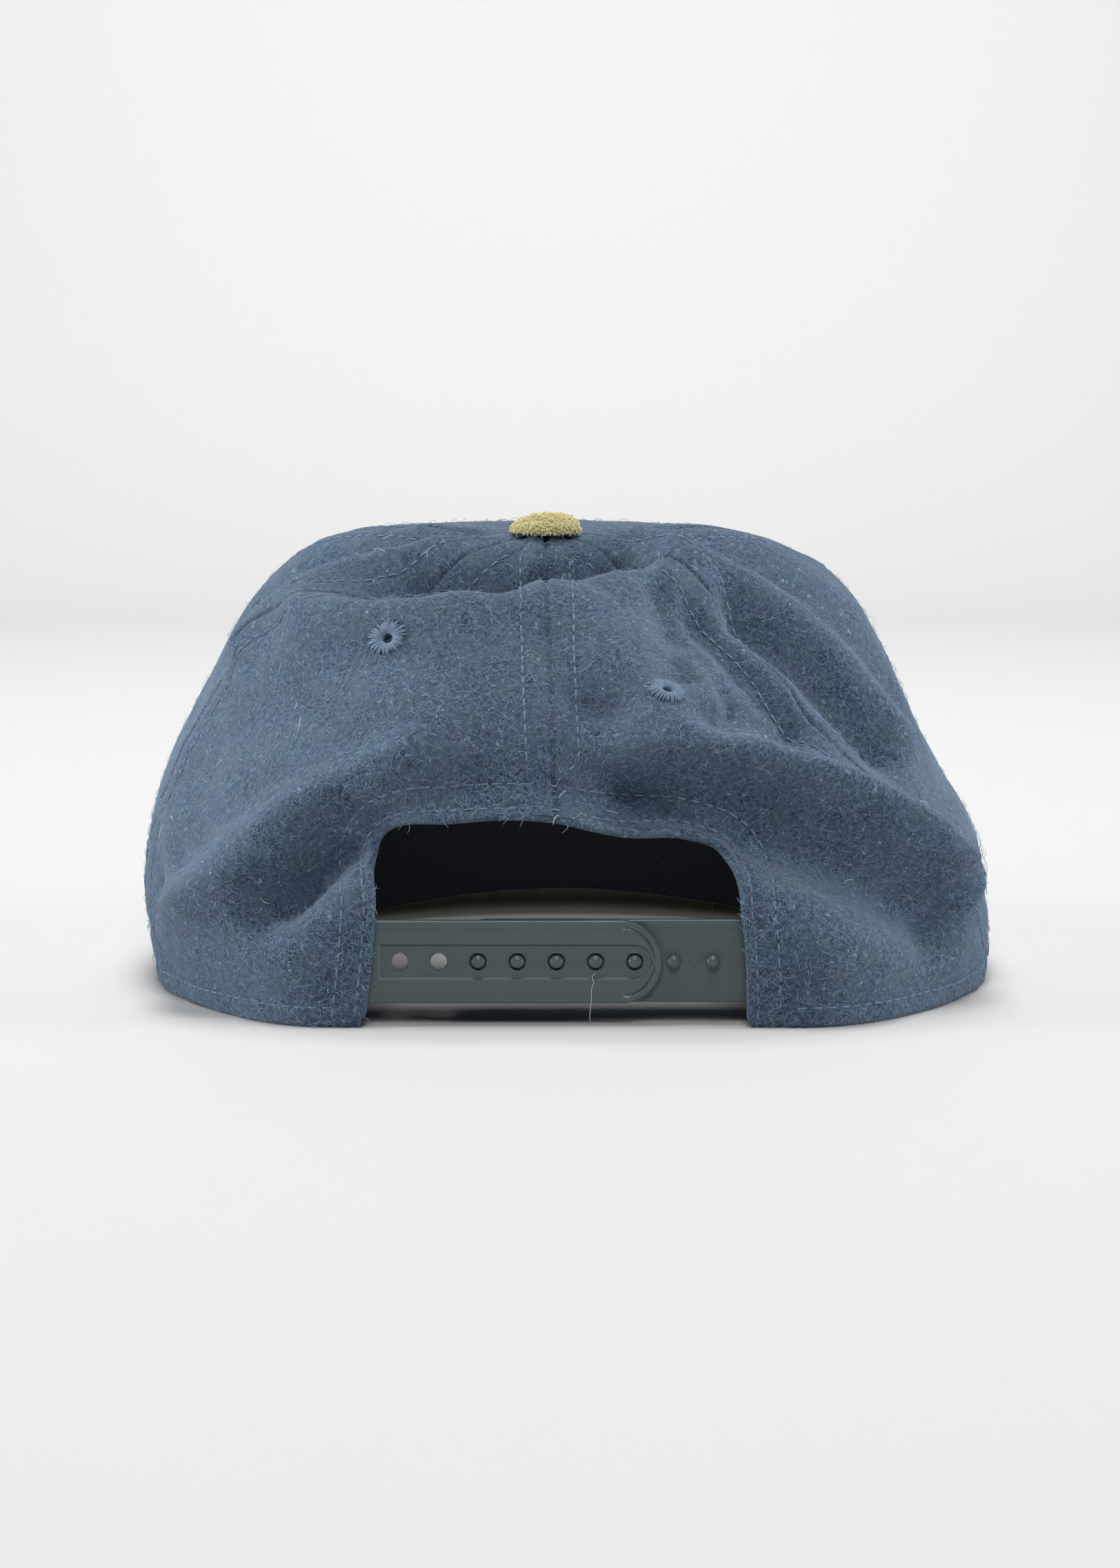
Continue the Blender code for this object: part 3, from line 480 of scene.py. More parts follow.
def crown_normal(azimuth, level):
    """The way through the cloth. The hem's rim is level and the top hole's upright."""
    normal = surface_normal(crown_surface, azimuth, level)
    normal[..., 2] *= smooth(level/RIM_FADE)
    normal[..., :2] *= smooth((1 - level)/TOP_FADE)[..., None]
    return normal/np.linalg.norm(normal, axis=-1, keepdims=True)


def crown_point(azimuth, level, depth):
    """A point of the crown, depth inside its outer surface."""
    normal = crown_normal(azimuth, level)
    return crown_surface(azimuth, level) - normal*np.asarray(depth)[..., None]


def crown_spot(azimuth, level):
    """One point of the crown's outer surface."""
    return crown_surface(np.array([float(azimuth)]), np.array([level]))[0]


def wrapped(azimuth):
    """Azimuths brought to 180 or less."""
    return np.where(azimuth > 180, azimuth - 360, azimuth)


def level_at_rise(rise):
    """The level at a small height above the hem, from the first two rows of the sections."""
    share = SECTIONS[1][SECTION_COLUMNS.index("rise_left")]/SECTIONS[1][0]
    return rise/(CROWN_HEIGHT*share)


def azimuth_at(across, level):
    """The azimuth at which the rear of the crown reaches a distance across."""
    azimuths = np.linspace(0.0, 90.0, 181)
    outward = crown_surface(azimuths, np.full_like(azimuths, level))[:, 0]
    return np.interp(across, outward, azimuths)


def locate(across, rise):
    """The azimuths and levels of points of the rear of the crown, from how far across and how
    high each one is."""
    azimuth = np.degrees(np.arcsin(np.clip(across/CROWN_HALF_WIDTH, -0.9, 0.9)))
    level = np.clip(rise/CROWN_HEIGHT, 0.0, 0.95)
    for _ in range(12):
        here = crown_surface(azimuth, level)
        by_turn = (crown_surface(azimuth + 0.2, level) - here)/0.2
        by_level = (crown_surface(azimuth, level + 0.002) - here)/0.002
        miss_x, miss_z = across - here[:, 0], rise - here[:, 2]
        scale = by_turn[:, 0]*by_level[:, 2] - by_turn[:, 2]*by_level[:, 0]
        azimuth = azimuth + np.clip((miss_x*by_level[:, 2] - miss_z*by_level[:, 0])/scale, -8, 8)
        level = level + np.clip((miss_z*by_turn[:, 0] - miss_x*by_turn[:, 2])/scale, -0.1, 0.1)
        level = np.clip(level, 0.0, 0.98)
    return azimuth, level


def put(name, data):
    """Puts an object of some data into the scene."""
    made = bpy.data.objects.new(name, data)
    bpy.context.scene.collection.objects.link(made)
    return made


def linear(code):
    """A colour of a surface from its sRGB hex value."""
    shares = [int(code[i:i + 2], 16)/255 for i in (0, 2, 4)]
    return tuple(s/12.92 if s <= 0.04045 else ((s + 0.055)/1.055)**2.4 for s in shares) + (1.0,)


def add(tree, kind, links=None, output=0, **settings):
    """Adds a node, sets what it is told, feeds its sockets with values or other sockets, and
    gives one of its outputs."""
    node = tree.nodes.new(kind)
    for name, value in settings.items():
        setattr(node, name, value)
    for socket, value in (links or {}).items():
        if isinstance(value, bpy.types.NodeSocket):
            tree.links.new(value, node.inputs[socket])
        else:
            node.inputs[socket].default_value = value
    return node.outputs[output]


def new_material(name):
    material = bpy.data.materials.new(name)
    material.use_nodes = True
    return material, material.node_tree, material.node_tree.nodes["Principled BSDF"]


def finish_material(made, layers, roughness, specular, bump=None, **sheen):
    """Gives a material its colour, the way it shines and its bump. The colour is made in layers,
    each a share and the two sRGB values that it lies between, with None for the first value of a
    layer over another. The bump is a height, a strength and a depth in millimetres."""
    material, tree, shader = made
    colour = None
    for share, under, over in layers:
        colour = add(tree, "ShaderNodeMix", {0: share, 6: linear(under) if under else colour,
                                             7: linear(over)}, output=2, data_type="RGBA")
    tree.links.new(colour, shader.inputs["Base Color"])
    if bump:
        height, strength, depth_mm = bump
        raised = add(tree, "ShaderNodeBump", {"Height": height, "Strength": strength,
                                              "Distance": depth_mm/1000})
        tree.links.new(raised, shader.inputs["Normal"])
    shader.inputs["Roughness"].default_value = roughness
    shader.inputs["Specular IOR Level"].default_value = specular
    for name, value in sheen.items():
        shader.inputs[f"Sheen {name}"].default_value = value
    return material


def per_mm(size_mm):
    """The scale that gives a pattern features of a size, on coordinates in metres."""
    return 1000.0/size_mm


def fibre_lines(tree, where, size_mm, width, cover):
    """Short curly lines, as of loose fibres: thin bands along a noise's middle value, kept
    only in the patches where a coarser noise is high."""
    curls = add(tree, "ShaderNodeTexNoise", {"Vector": where, "Scale": per_mm(size_mm),
                                             "Detail": 1.0, "Distortion": 0.4}, output="Fac")
    offset = add(tree, "ShaderNodeMath", {0: curls, 1: 0.5}, operation="SUBTRACT")
    away = add(tree, "ShaderNodeMath", {0: offset}, operation="ABSOLUTE")
    line = add(tree, "ShaderNodeMapRange", {"Value": away, "From Min": 0.0, "From Max": width,
                                            "To Min": 1.0, "To Max": 0.0})
    patches = add(tree, "ShaderNodeTexNoise", {"Vector": where, "Scale": per_mm(size_mm*1.3),
                                               "Detail": 0.0}, output="Fac")
    kept = add(tree, "ShaderNodeMapRange", {"Value": patches, "From Min": 1 - cover,
                                            "From Max": 1.12 - cover})
    return add(tree, "ShaderNodeMath", {0: line, 1: kept}, operation="MULTIPLY")


def heather_wool():
    """Milled wool, dyed in the fibre: dark and light blue fibres are spun together, which gives
    a fine mottle that drifts between violet and grey, and the milling mats them into curls."""
    made = new_material("heather_wool")
    tree = made[1]
    where = add(tree, "ShaderNodeTexCoord", output="Object")
    strands = add(tree, "ShaderNodeTexNoise", {"Vector": where, "Scale": per_mm(0.85),
                                               "Detail": 2.5, "Roughness": 0.62,
                                               "Distortion": 1.3}, output="Fac")
    share = add(tree, "ShaderNodeMapRange", {"Value": strands, "From Min": 0.34, "From Max": 0.67})
    layers = [(share, "1b2633", "4f6379")]
    # The dyed fibres aren't mixed evenly: their shade drifts over about a centimetre
    for size_mm, tint in ((11.0, "4a5268"), (7.0, "47585b")):
        cloud = add(tree, "ShaderNodeTexNoise", {"Vector": where, "Scale": per_mm(size_mm),
                                                 "Detail": 3.0}, output="Fac")
        share = add(tree, "ShaderNodeMapRange", {"Value": cloud, "From Min": 0.42,
                                                 "From Max": 0.68, "To Max": 0.40})
        layers.append((share, None, tint))
    curls = fibre_lines(tree, where, 1.3, 0.028, 0.42)
    fine_curls = fibre_lines(tree, where, 0.8, 0.045, 0.50)
    layers += [(fine_curls, None, "64788d"), (curls, None, "8296ab")]
    height = add(tree, "ShaderNodeMath", {0: strands, 1: curls}, operation="ADD")
    height = add(tree, "ShaderNodeMath", {0: height, 1: fine_curls}, operation="ADD")
    return finish_material(made, layers, roughness=0.95, specular=0.15, bump=(height, 0.6, 0.22),
                           Weight=0.30, Roughness=0.45, Tint=linear("aebfd2"))


def plain_material(name, colour, roughness, specular=0.3):
    material, _, shader = new_material(name)
    shader.inputs["Base Color"].default_value = linear(colour)
    shader.inputs["Roughness"].default_value = roughness
    shader.inputs["Specular IOR Level"].default_value = specular
    return material


def polyester_thread(name, dark, light):
    """Spun polyester sewing thread, a shade lighter than the cloth and softly shiny, with a fine
    mottle from its twisted plies."""
    made = new_material(name)
    tree = made[1]
    where = add(tree, "ShaderNodeTexCoord", output="Object")
    plies = add(tree, "ShaderNodeTexNoise", {"Vector": where, "Scale": per_mm(0.35),
                                             "Detail": 2.0}, output="Fac")
    return finish_material(made, [(plies, dark, light)], roughness=0.6, specular=0.3)


def mustard_felt():
    """Wool felt, matted from short fibres that stand up as a nap. Its colour follows the height of
    the tufts:
    a painted highlight where the tips catch the light, and painted shade between the tufts."""
    made = new_material("mustard_felt")
    tree = made[1]
    where = add(tree, "ShaderNodeTexCoord", output="Object")
    tufts = add(tree, "ShaderNodeTexNoise", {"Vector": where, "Scale": per_mm(0.6),
                                             "Detail": 3.0, "Roughness": 0.6}, output="Fac")
    # The tufts' noise sets the colour as well as the bump: painted highlight on the high tips,
    # painted shade in the low spots between them
    share = add(tree, "ShaderNodeMapRange", {"Value": tufts, "From Min": 0.35, "From Max": 0.66})
    curls = fibre_lines(tree, where, 0.9, 0.05, 0.5)
    layers = [(share, "6f663c", "c0b684"), (curls, None, "ddd5a6")]
    return finish_material(made, layers, roughness=1.0, specular=0.1, bump=(tufts, 0.8, 0.3),
                           Weight=0.25)


def cotton_twill():
    """Dark cotton twill of the inside band, with a fine slanting rib."""
    made = new_material("cotton_twill")
    tree = made[1]
    flat = add(tree, "ShaderNodeTexCoord", output="UV")
    turned = add(tree, "ShaderNodeMapping", {"Vector": flat,
                                             "Rotation": (0.0, 0.0, math.radians(50))})
    ribs = add(tree, "ShaderNodeTexWave", {"Vector": turned, "Scale": per_mm(0.9)/(2*math.pi),
                                           "Distortion": 0.6}, output="Fac")
    return finish_material(made, [(ribs, "05070b", "0a0f16")], roughness=0.85, specular=0.2,
                           bump=(ribs, 0.4, 0.1))


def moulded_polyethylene():
    """Injection-moulded polyethylene: a satin grey-green face with the fine grain of the
    mould, which spreads its highlights. The real grain is too fine to show, so this is coarser."""
    made = new_material("moulded_polyethylene")
    tree = made[1]
    where = add(tree, "ShaderNodeTexCoord", output="Object")
    grain = add(tree, "ShaderNodeTexNoise", {"Vector": where, "Scale": per_mm(0.35),
                                             "Detail": 2.0}, output="Fac")
    return finish_material(made, [(grain, "3d494b", "495658")], roughness=0.36, specular=0.45,
                           bump=(grain, 0.25, 0.05))


def finish_piece(name, mesh, material, replaced=()):
    """Makes a mesh in the crown's own place a piece that rides on the cap."""
    mesh.transform(Matrix.Translation(AXIS))
    mesh.name = name
    mesh.materials.clear()
    mesh.materials.append(material)
    piece = put(name, mesh)
    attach(piece, "root")
    if replaced:
        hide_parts(*replaced)
    return piece


def mesh_from(shape, smooth_angle=50):
    """A mesh from a closed bmesh, faces out."""
    bmesh.ops.recalc_face_normals(shape, faces=shape.faces[:])
    if shape.calc_volume(signed=True) < 0:
        bmesh.ops.reverse_faces(shape, faces=shape.faces[:])
    mesh = bpy.data.meshes.new("shape")
    shape.to_mesh(mesh)
    shape.free()
    mesh.shade_smooth()
    mesh.set_sharp_from_angle(angle=math.radians(smooth_angle))
    return mesh


def spread_shares(length, step, fine_low=True, fine_high=True):
    """Shares from 0 to 1 a step apart, and closer together near a fine end."""
    low = list(EDGE_STEPS) if fine_low else []
    high = [length - edge for edge in reversed(EDGE_STEPS)] if fine_high else []
    first, last = (low[-1] if low else 0.0), (high[0] if high else length)
    count = max(1, round((last - first)/step))
    middle = list(np.linspace(first, last, count + 1))
    edges = [0.0] + low[:-1] + middle + high[1:] + [length]
    return np.unique(np.round(np.array(edges)/length, 7))


def flat_grid(across, up):
    """A flat grid between 0 and 1 each way, with its lines at the given shares."""
    shape = bmesh.new()
    bmesh.ops.create_grid(shape, x_segments=len(across) - 1, y_segments=len(up) - 1, size=0.5)
    for vert in shape.verts:
        column = round((vert.co.x + 0.5)*(len(across) - 1))
        row = round((vert.co.y + 0.5)*(len(up) - 1))
        vert.co = (across[column], up[row], 0.0)
    return shape


def cut_open(shape, distance):
    """Cuts a flat grid along the line where a distance passes 0, and removes the part below."""
    away = dict(zip(shape.verts, distance(np.array([vert.co[:] for vert in shape.verts]))))
    fresh = []
    for edge in list(shape.edges):
        a, b = edge.verts
        if away[a]*away[b] < 0:
            _, middle = bmesh.utils.edge_split(edge, a, away[a]/(away[a] - away[b]))
            away[middle] = 0.0
            fresh.append(middle)
    bmesh.ops.connect_verts(shape, verts=fresh)
    gone = [vert for vert in shape.verts if away[vert] < 0]
    bmesh.ops.delete(shape, geom=gone, context="VERTS")


def sheet(shape, place, uv_size):
    """A closed sheet from a flat grid: it is made one unit thick, and each corner is put where
    place(across, up, depth) says. Its UV map is the flat grid at its real size."""
    bmesh.ops.solidify(shape, geom=shape.faces[:], thickness=1.0)
    flat = np.array([vert.co[:] for vert in shape.verts])
    uv_layer = shape.loops.layers.uv.new("cloth")
    for face in shape.faces:
        for loop in face.loops:
            loop[uv_layer].uv = (loop.vert.co.x*uv_size[0], loop.vert.co.y*uv_size[1])
    depth = (flat[:, 2] - flat[:, 2].min())/np.ptp(flat[:, 2])
    for vert, point in zip(shape.verts, place(flat[:, 0], flat[:, 1], depth)):
        vert.co = point
    return mesh_from(shape)


def curve_mesh(curve):
    """The mesh of a curve, which is then let go."""
    made = put("curve", curve)
    bpy.context.view_layer.update()
    ready = made.evaluated_get(bpy.context.evaluated_depsgraph_get())
    mesh = bpy.data.meshes.new_from_object(ready)
    bpy.data.objects.remove(made)
    bpy.data.curves.remove(curve)
    return mesh


def arch_line():
    """The arch's outline from foot to foot, as a smooth curve through its few points."""
    curve = bpy.data.curves.new("arch", "CURVE")
    curve.dimensions = "2D"
    curve.resolution_u = 24
    spline = curve.splines.new("BEZIER")
    spline.bezier_points.add(len(ARCH) - 1)
    for i, (point, (across, rise)) in enumerate(zip(spline.bezier_points, ARCH)):
        point.co = (across*ARCH_HALF_WIDTH, rise*ARCH_HEIGHT, 0.0)
        point.handle_left_type = "AUTO" if 0 < i < len(ARCH) - 1 else "VECTOR"
        point.handle_right_type = point.handle_left_type
    mesh = curve_mesh(curve)
    line = np.array([vert.co[:2] for vert in mesh.vertices])
    bpy.data.meshes.remove(mesh)
    return line


ARCH_LINE = arch_line()


def arch_distance(across, rise):
    """How far a point of the rear lies from the arch's edge: above 0 in the cloth, below 0 in
    the opening."""
    nearest, left = off_line(np.stack([across, rise], axis=-1), ARCH_LINE)
    return nearest*np.where(left < 0, 1.0, -1.0)


def seam_scale(name, level):
    """Metres square to a seam for each degree of azimuth away from it."""
    azimuth = seam(name, level)
    above, below = np.minimum(level + 0.01, 1.0), np.maximum(level - 0.01, 0.0)
    along = smooth_crown(seam(name, above), above) - smooth_crown(seam(name, below), below)
    around = smooth_crown(azimuth + 0.5, level) - smooth_crown(azimuth - 0.5, level)
    along = along/np.maximum(np.linalg.norm(along, axis=-1, keepdims=True), TINY)
    return np.linalg.norm(np.cross(along, around), axis=-1)


def ripple(azimuth, level):
    """The slight unevenness of milled wool, a few tenths of a millimetre, and the puckers that
    the side seams draw at the hem."""
    here = chart(azimuth, level)
    draw = random.Random(3)
    total = np.zeros(here.shape[:-1])
    for _ in range(RIPPLE_WAVES):
        turn, size = draw.uniform(0, 2*math.pi), draw.uniform(*RIPPLE_SIZES)
        heading = np.array([math.cos(turn), math.sin(turn)])*2*math.pi/size
        total = total + np.sin(here @ heading + draw.uniform(0, 2*math.pi))
    wave = np.sin(2*math.pi*here[..., 0]/PUCKER_SIZE)
    rise = RIPPLE_RISE*total
    for foot in PUCKER_FEET:
        near = np.exp(-((azimuth - foot)/PUCKER_SPREAD)**2)
        rise = rise + PUCKER_RISE*near*wave*smooth(1 - level/PUCKER_LEVEL)
    return rise


def row_dip(distance, row):
    """How far a row of stitches pulls the cloth in, at a distance from the row's own edge."""
    return ROW_DIP*np.exp(-((distance - row)/ROW_DIP_WIDTH)**2)


def sewn_depth(azimuth, level, across, ends):
    """How deep the sewing draws the outer surface in: at the seams, along the rows of stitches
    beside them, at the arch and above the hem."""
    depth = -ripple(azimuth, level)
    for name, share in zip(ends, (across, 1 - across)):
        away = np.abs(azimuth - seam(name, level))*seam_scale(name, level)
        dip = BACK_SEAM_DIP if name == "back" else SEAM_DIP
        depth = depth + dip*np.exp(-(away/SEAM_DIP_WIDTH)**2) + row_dip(away, SEAM_ROW)
        depth = depth - ALLOWANCE_RISE*smooth((SEAM_ROW + ALLOWANCE_PAST - away)/ALLOWANCE_EDGE)
    rise = level*CROWN_HEIGHT*HEM_STRETCH
    depth = depth + row_dip(rise, HEM_ROW)
    if "back" in ends:
        point = crown_surface(azimuth, level)
        edge = arch_distance(point[:, 0], point[:, 2])
        for row in ARCH_ROWS:
            depth = depth + row_dip(edge, row)
    return depth


def rounded_half(edge, thickness):
    """Half the thickness of cloth at a distance from its rounded edge."""
    radius = 0.5*thickness
    inside = np.clip(edge, 0.0, radius)
    return np.sqrt(np.maximum(radius**2 - (radius - inside)**2, (0.05*radius)**2))


def panel_mesh(name, first_seam, last_seam):
    """One crown panel, with its seams, rows and rounded hem worked into the cloth."""
    middle = np.array([WIDE_LEVEL])
    width = math.radians(abs(seam(last_seam, middle) - seam(first_seam, middle))[0])*CHART_RADIUS
    height = CHART_HEIGHT
    across, up = spread_shares(width, CELL), spread_shares(height, CELL, fine_high=False)
    shape = flat_grid(across, up)

    def azimuth_of(share, level):
        first, last = seam(first_seam, level), seam(last_seam, level)
        return first + (last - first)*share

    def opening(flat):
        point = crown_surface(azimuth_of(flat[:, 0], flat[:, 1]), flat[:, 1])
        edge = arch_distance(point[:, 0], point[:, 2]) - 0.5*CLOTH
        edge = np.where(flat[:, 1] > ARCH_TOP_LEVEL, 1.0, edge)
        from_eyelet = np.linalg.norm(point - crown_spot(*EYELETS[name]), axis=-1)
        return np.minimum(edge, from_eyelet - EYELET_HOLE_RADIUS)

    if name in EYELETS:
        cut_open(shape, opening)

    def place(share, level, depth):
        azimuth = azimuth_of(share, level)
        outer = sewn_depth(azimuth, level, share, (first_seam, last_seam))
        half = rounded_half(level*height, CLOTH)
        deep = 0.5*CLOTH + (2*depth - 1)*half
        return crown_point(azimuth, level, deep + outer*(1 - depth))
    return sheet(shape, place, (width, height))


def add_panels(wool):
    panels = (
        ("rear_panel_left", "back", "rear_left"),
        ("side_panel_left", "rear_left", "front_left"),
        ("front_panel_left", "front_left", "front_from_left"),
        ("front_panel_right", "front_from_right", "front_right"),
        ("side_panel_right", "front_right", "rear_right"),
        ("rear_panel_right", "rear_right", "back"),
    )
    for name, first_seam, last_seam in panels:
        mesh = panel_mesh(name, first_seam, last_seam)
        finish_piece(f"{name}_cloth", mesh, wool, (name,))


def threads_mesh(lines, thickness, sides=6, ends=0.4):
    """Round threads along lines of points, drawn in at their ends."""
    curve = bpy.data.curves.new("threads", "CURVE")
    curve.dimensions = "3D"
    curve.bevel_depth = 0.5*thickness
    curve.bevel_resolution = (sides - 4)//2
    curve.use_fill_caps = True
    for line in lines:
        line = np.asarray(line)
        spline = curve.splines.new("POLY")
        spline.points.add(len(line) - 1)
        spline.points.foreach_set("co", np.column_stack([line, np.ones(len(line))]).ravel())
        radii = np.ones(len(line))
        radii[[0, -1]] = ends
        spline.points.foreach_set("radius", radii)
    mesh = curve_mesh(curve)
    shape = bmesh.new()
    shape.from_mesh(mesh)
    bmesh.ops.remove_doubles(shape, verts=shape.verts[:], dist=TINY)
    shape.to_mesh(mesh)
    shape.free()
    mesh.shade_smooth()
    return mesh


def stitches_along(azimuth, level, depth):
    """Stitches in a row along a line on the crown: a short thread each, that dives into the
    cloth at both ends."""
    points = crown_point(azimuth, level, depth - ripple(azimuth, level))
    normals = crown_normal(azimuth, level)
    steps = np.linalg.norm(np.diff(points, axis=0), axis=1)
    run = np.concatenate([[0.0], np.cumsum(steps)])
    lines = []
    start = 0.5*STITCH_GAP
    while start + STITCH_LENGTH < run[-1]:
        along = start + STITCH_LENGTH*np.array(STITCH_SPOTS)
        lift = THREAD_RADIUS*np.array(STITCH_LIFTS)
        spots = np.stack([np.interp(along, run, points[:, i]) for i in range(3)], axis=1)
        ways = np.stack([np.interp(along, run, normals[:, i]) for i in range(3)], axis=1)
        lines.append(spots + ways*lift[:, None])
        start += STITCH_LENGTH + STITCH_GAP
    return lines


def seam_rows(name, from_level):
    """The two rows of stitches beside a seam."""
    level = np.linspace(from_level, SEAM_ROW_END, 90)
    lines = []
    for side in (-1, 1):
        azimuth = seam(name, level) + side*SEAM_ROW/seam_scale(name, level)
        lines += stitches_along(azimuth, level, np.full_like(level, ROW_DIP - ALLOWANCE_RISE))
    return lines


def arch_offset(distance):
    """The azimuths and levels of a line beside the arch's edge."""
    step = np.gradient(ARCH_LINE, axis=0)
    away = np.stack([step[:, 1], -step[:, 0]], axis=1)/np.linalg.norm(step, axis=1)[:, None]
    line = ARCH_LINE + distance*away
    line = line[line[:, 1] > 0.0012]
    return locate(line[:, 0], line[:, 1])


def add_stitches(thread):
    lines = seam_rows("back", BACK_ROW_START)
    for name in ("rear_left", "rear_right", "front_left", "front_right", "front_from_left"):
        lines += seam_rows(name, level_at_rise(HEM_ROW + 0.001))
    for row in ARCH_ROWS:
        azimuth, level = arch_offset(row)
        lines += stitches_along(azimuth, level, np.full_like(level, ROW_DIP))
    level = level_at_rise(HEM_ROW)
    foot = float(azimuth_at(ARCH_HALF_WIDTH + ARCH_ROWS[1], 0.0))
    azimuth = wrapped(np.linspace(foot, 360 - foot, 900))
    lines += stitches_along(azimuth, np.full_like(azimuth, level), np.full_like(azimuth, ROW_DIP))
    finish_piece("topstitching", threads_mesh(lines, 2*THREAD_RADIUS), thread)


def add_arch_roll(wool):
    """The turned edge of the arch: a roll as thick as the cloth, along the panels' cut edge."""
    azimuth, level = arch_offset(0.5*CLOTH)
    line = crown_point(azimuth, level, np.full_like(level, 0.5*CLOTH))
    roll = threads_mesh([line], CLOTH*1.04, sides=12, ends=0.7)
    finish_piece("arch_roll", roll, wool)


def add_eyelets(thread):
    """Embroidered eyelets: threads from the hole out over the cloth, packed round it."""
    draw = random.Random(5)
    azimuths, levels, depths = [], [], []
    for azimuth, level in EYELETS.values():
        spot, height = np.array([float(azimuth)]), np.array([level])
        by_turn = 0.5*(crown_surface(spot + 1, height) - crown_surface(spot - 1, height))[0]
        by_level = 50*(crown_surface(spot, height + 0.01) - crown_surface(spot, height - 0.01))[0]
        side = by_turn/np.linalg.norm(by_turn)
        up = by_level - side*(by_level @ side)
        up = up/np.linalg.norm(up)
        for i in range(EYELET_STITCHES):
            angle = 2*math.pi*(i + draw.uniform(-0.3, 0.3))/EYELET_STITCHES
            way = math.cos(angle)*side + math.sin(angle)*up
            turn, climb = np.linalg.lstsq(np.stack([by_turn, by_level], axis=1), way, rcond=None)[0]
            reach = EYELET_RADIUS*draw.uniform(0.84, 1.08)
            out = np.array([0.8*EYELET_HOLE_RADIUS, 1.1*EYELET_HOLE_RADIUS,
                            0.5*reach, 0.85*reach, reach])
            azimuths.append(azimuth + turn*out)
            levels.append(level + climb*out)
            depths.append(EYELET_DEPTHS)
    lines = crown_point(np.array(azimuths), np.array(levels), np.array(depths))
    finish_piece("eyelet_embroidery", threads_mesh(lines, EYELET_THREAD), thread)


def hair_lines(roots, normals, lengths, rises, draw):
    """A short curl from each root, which leaves the surface, bends along it and nears it again."""
    way = draw.normal(size=roots.shape)
    way -= normals*np.sum(way*normals, axis=1, keepdims=True)
    way /= np.linalg.norm(way, axis=1, keepdims=True)
    side = np.cross(normals, way)
    bend = draw.uniform(0.3, 2.2, len(roots))*draw.choice([-1.0, 1.0], len(roots))
    line = []
    for share, high in zip(HAIR_SHARES, HAIR_RISES):
        forward = lengths*np.sin(bend*share)/bend
        aside = lengths*(1 - np.cos(bend*share))/bend
        line.append(roots + way*forward[:, None] + side*aside[:, None]
                    + normals*(high*rises)[:, None])
    lines = np.stack(line, axis=1)
    lines[..., 2] = np.maximum(lines[..., 2], HAIR_THICKNESS)
    return lines


def wool_hairs(count, azimuths, levels, lengths, rises, draw):
    """Curls with their roots spread evenly over a part of the crown, clear of its openings."""
    azimuth, level = draw.uniform(*azimuths, 2*count), draw.uniform(*levels, 2*count)
    kept = draw.uniform(0.0, 1.0, 2*count) < 1 - 0.75*level
    azimuth, level = azimuth[kept], level[kept]
    roots = crown_point(azimuth, level, np.full_like(level, 0.0001))
    rear = (roots[:, 1] > 0) & (level < ARCH_TOP_LEVEL)
    open_here = rear & (arch_distance(roots[:, 0], roots[:, 2]) < FUZZ_CLEARANCE)
    for place in EYELETS.values():
        open_here |= np.linalg.norm(roots - crown_spot(*place), axis=1) < EYELET_RADIUS
    chosen = np.nonzero(~open_here)[0][:count]
    azimuth, level, roots = azimuth[chosen], level[chosen], roots[chosen]
    size = len(chosen)
    return hair_lines(roots, crown_normal(azimuth, level), draw.uniform(*lengths, size),
                      draw.uniform(*rises, size), draw)


def add_fuzz(fibre):
    """The loose curls that the milling raises, thickest where the cap shows its back."""
    draw = np.random.default_rng(11)
    for name, azimuths in (("rear_left", (28, 86)), ("rear_middle", (-28, 28)),
                           ("rear_right", (-86, -28)), ("front_and_sides", (86, 274))):
        short = wool_hairs(FUZZ_HAIRS*5//6, azimuths, FUZZ_LEVELS, *SHORT_HAIRS, draw)
        long = wool_hairs(FUZZ_HAIRS//6, azimuths, FUZZ_LEVELS, *LONG_HAIRS, draw)
        mesh = threads_mesh(np.concatenate([short, long]), HAIR_THICKNESS, sides=4)
        finish_piece(f"wool_fuzz_{name}", mesh, fibre)


def add_stray_fibres(fibre):
    """A few pale fibres caught on the wool, and one that hangs from a snap hole."""
    draw = np.random.default_rng(4)
    lines = [line for row in STRAYS for line in wool_hairs(*row, draw)]
    hole = FIRST_HOLE - HANGING_HOLE*SNAP_PITCH
    lines.append([(hole + across, STRAP_FACE + 0.0004, STRAP_RISE + rise)
                  for across, rise in HANGING_FIBRE])
    finish_piece("stray_fibres", threads_mesh(lines, STRAY_THICKNESS), fibre)


def add_sweatband(twill):
    start = float(azimuth_at(STRAP_TAIL + BAND_END_GAP, 0.0))
    top, foot = level_at_rise(BAND_HEIGHT), level_at_rise(BAND_FOOT)
    length = math.radians(360 - 2*start)*CHART_RADIUS
    shape = flat_grid(spread_shares(length, BAND_CELL), spread_shares(BAND_HEIGHT, BAND_CELL))

    def place(across, up, depth):
        azimuth = wrapped(start + (360 - 2*start)*across)
        half = rounded_half(np.minimum(up, 1 - up)*BAND_HEIGHT, BAND_THICKNESS)
        deep = 0.5*BAND_THICKNESS + (2*depth - 1)*half
        inset = CLOTH + BAND_CLEARANCE + up*BAND_LEAN
        return crown_point(azimuth, foot + (top - foot)*up, inset + deep)
    mesh = sheet(shape, place, (length, BAND_HEIGHT))
    finish_piece("sweatband_twill", mesh, twill, ("sweatband",))


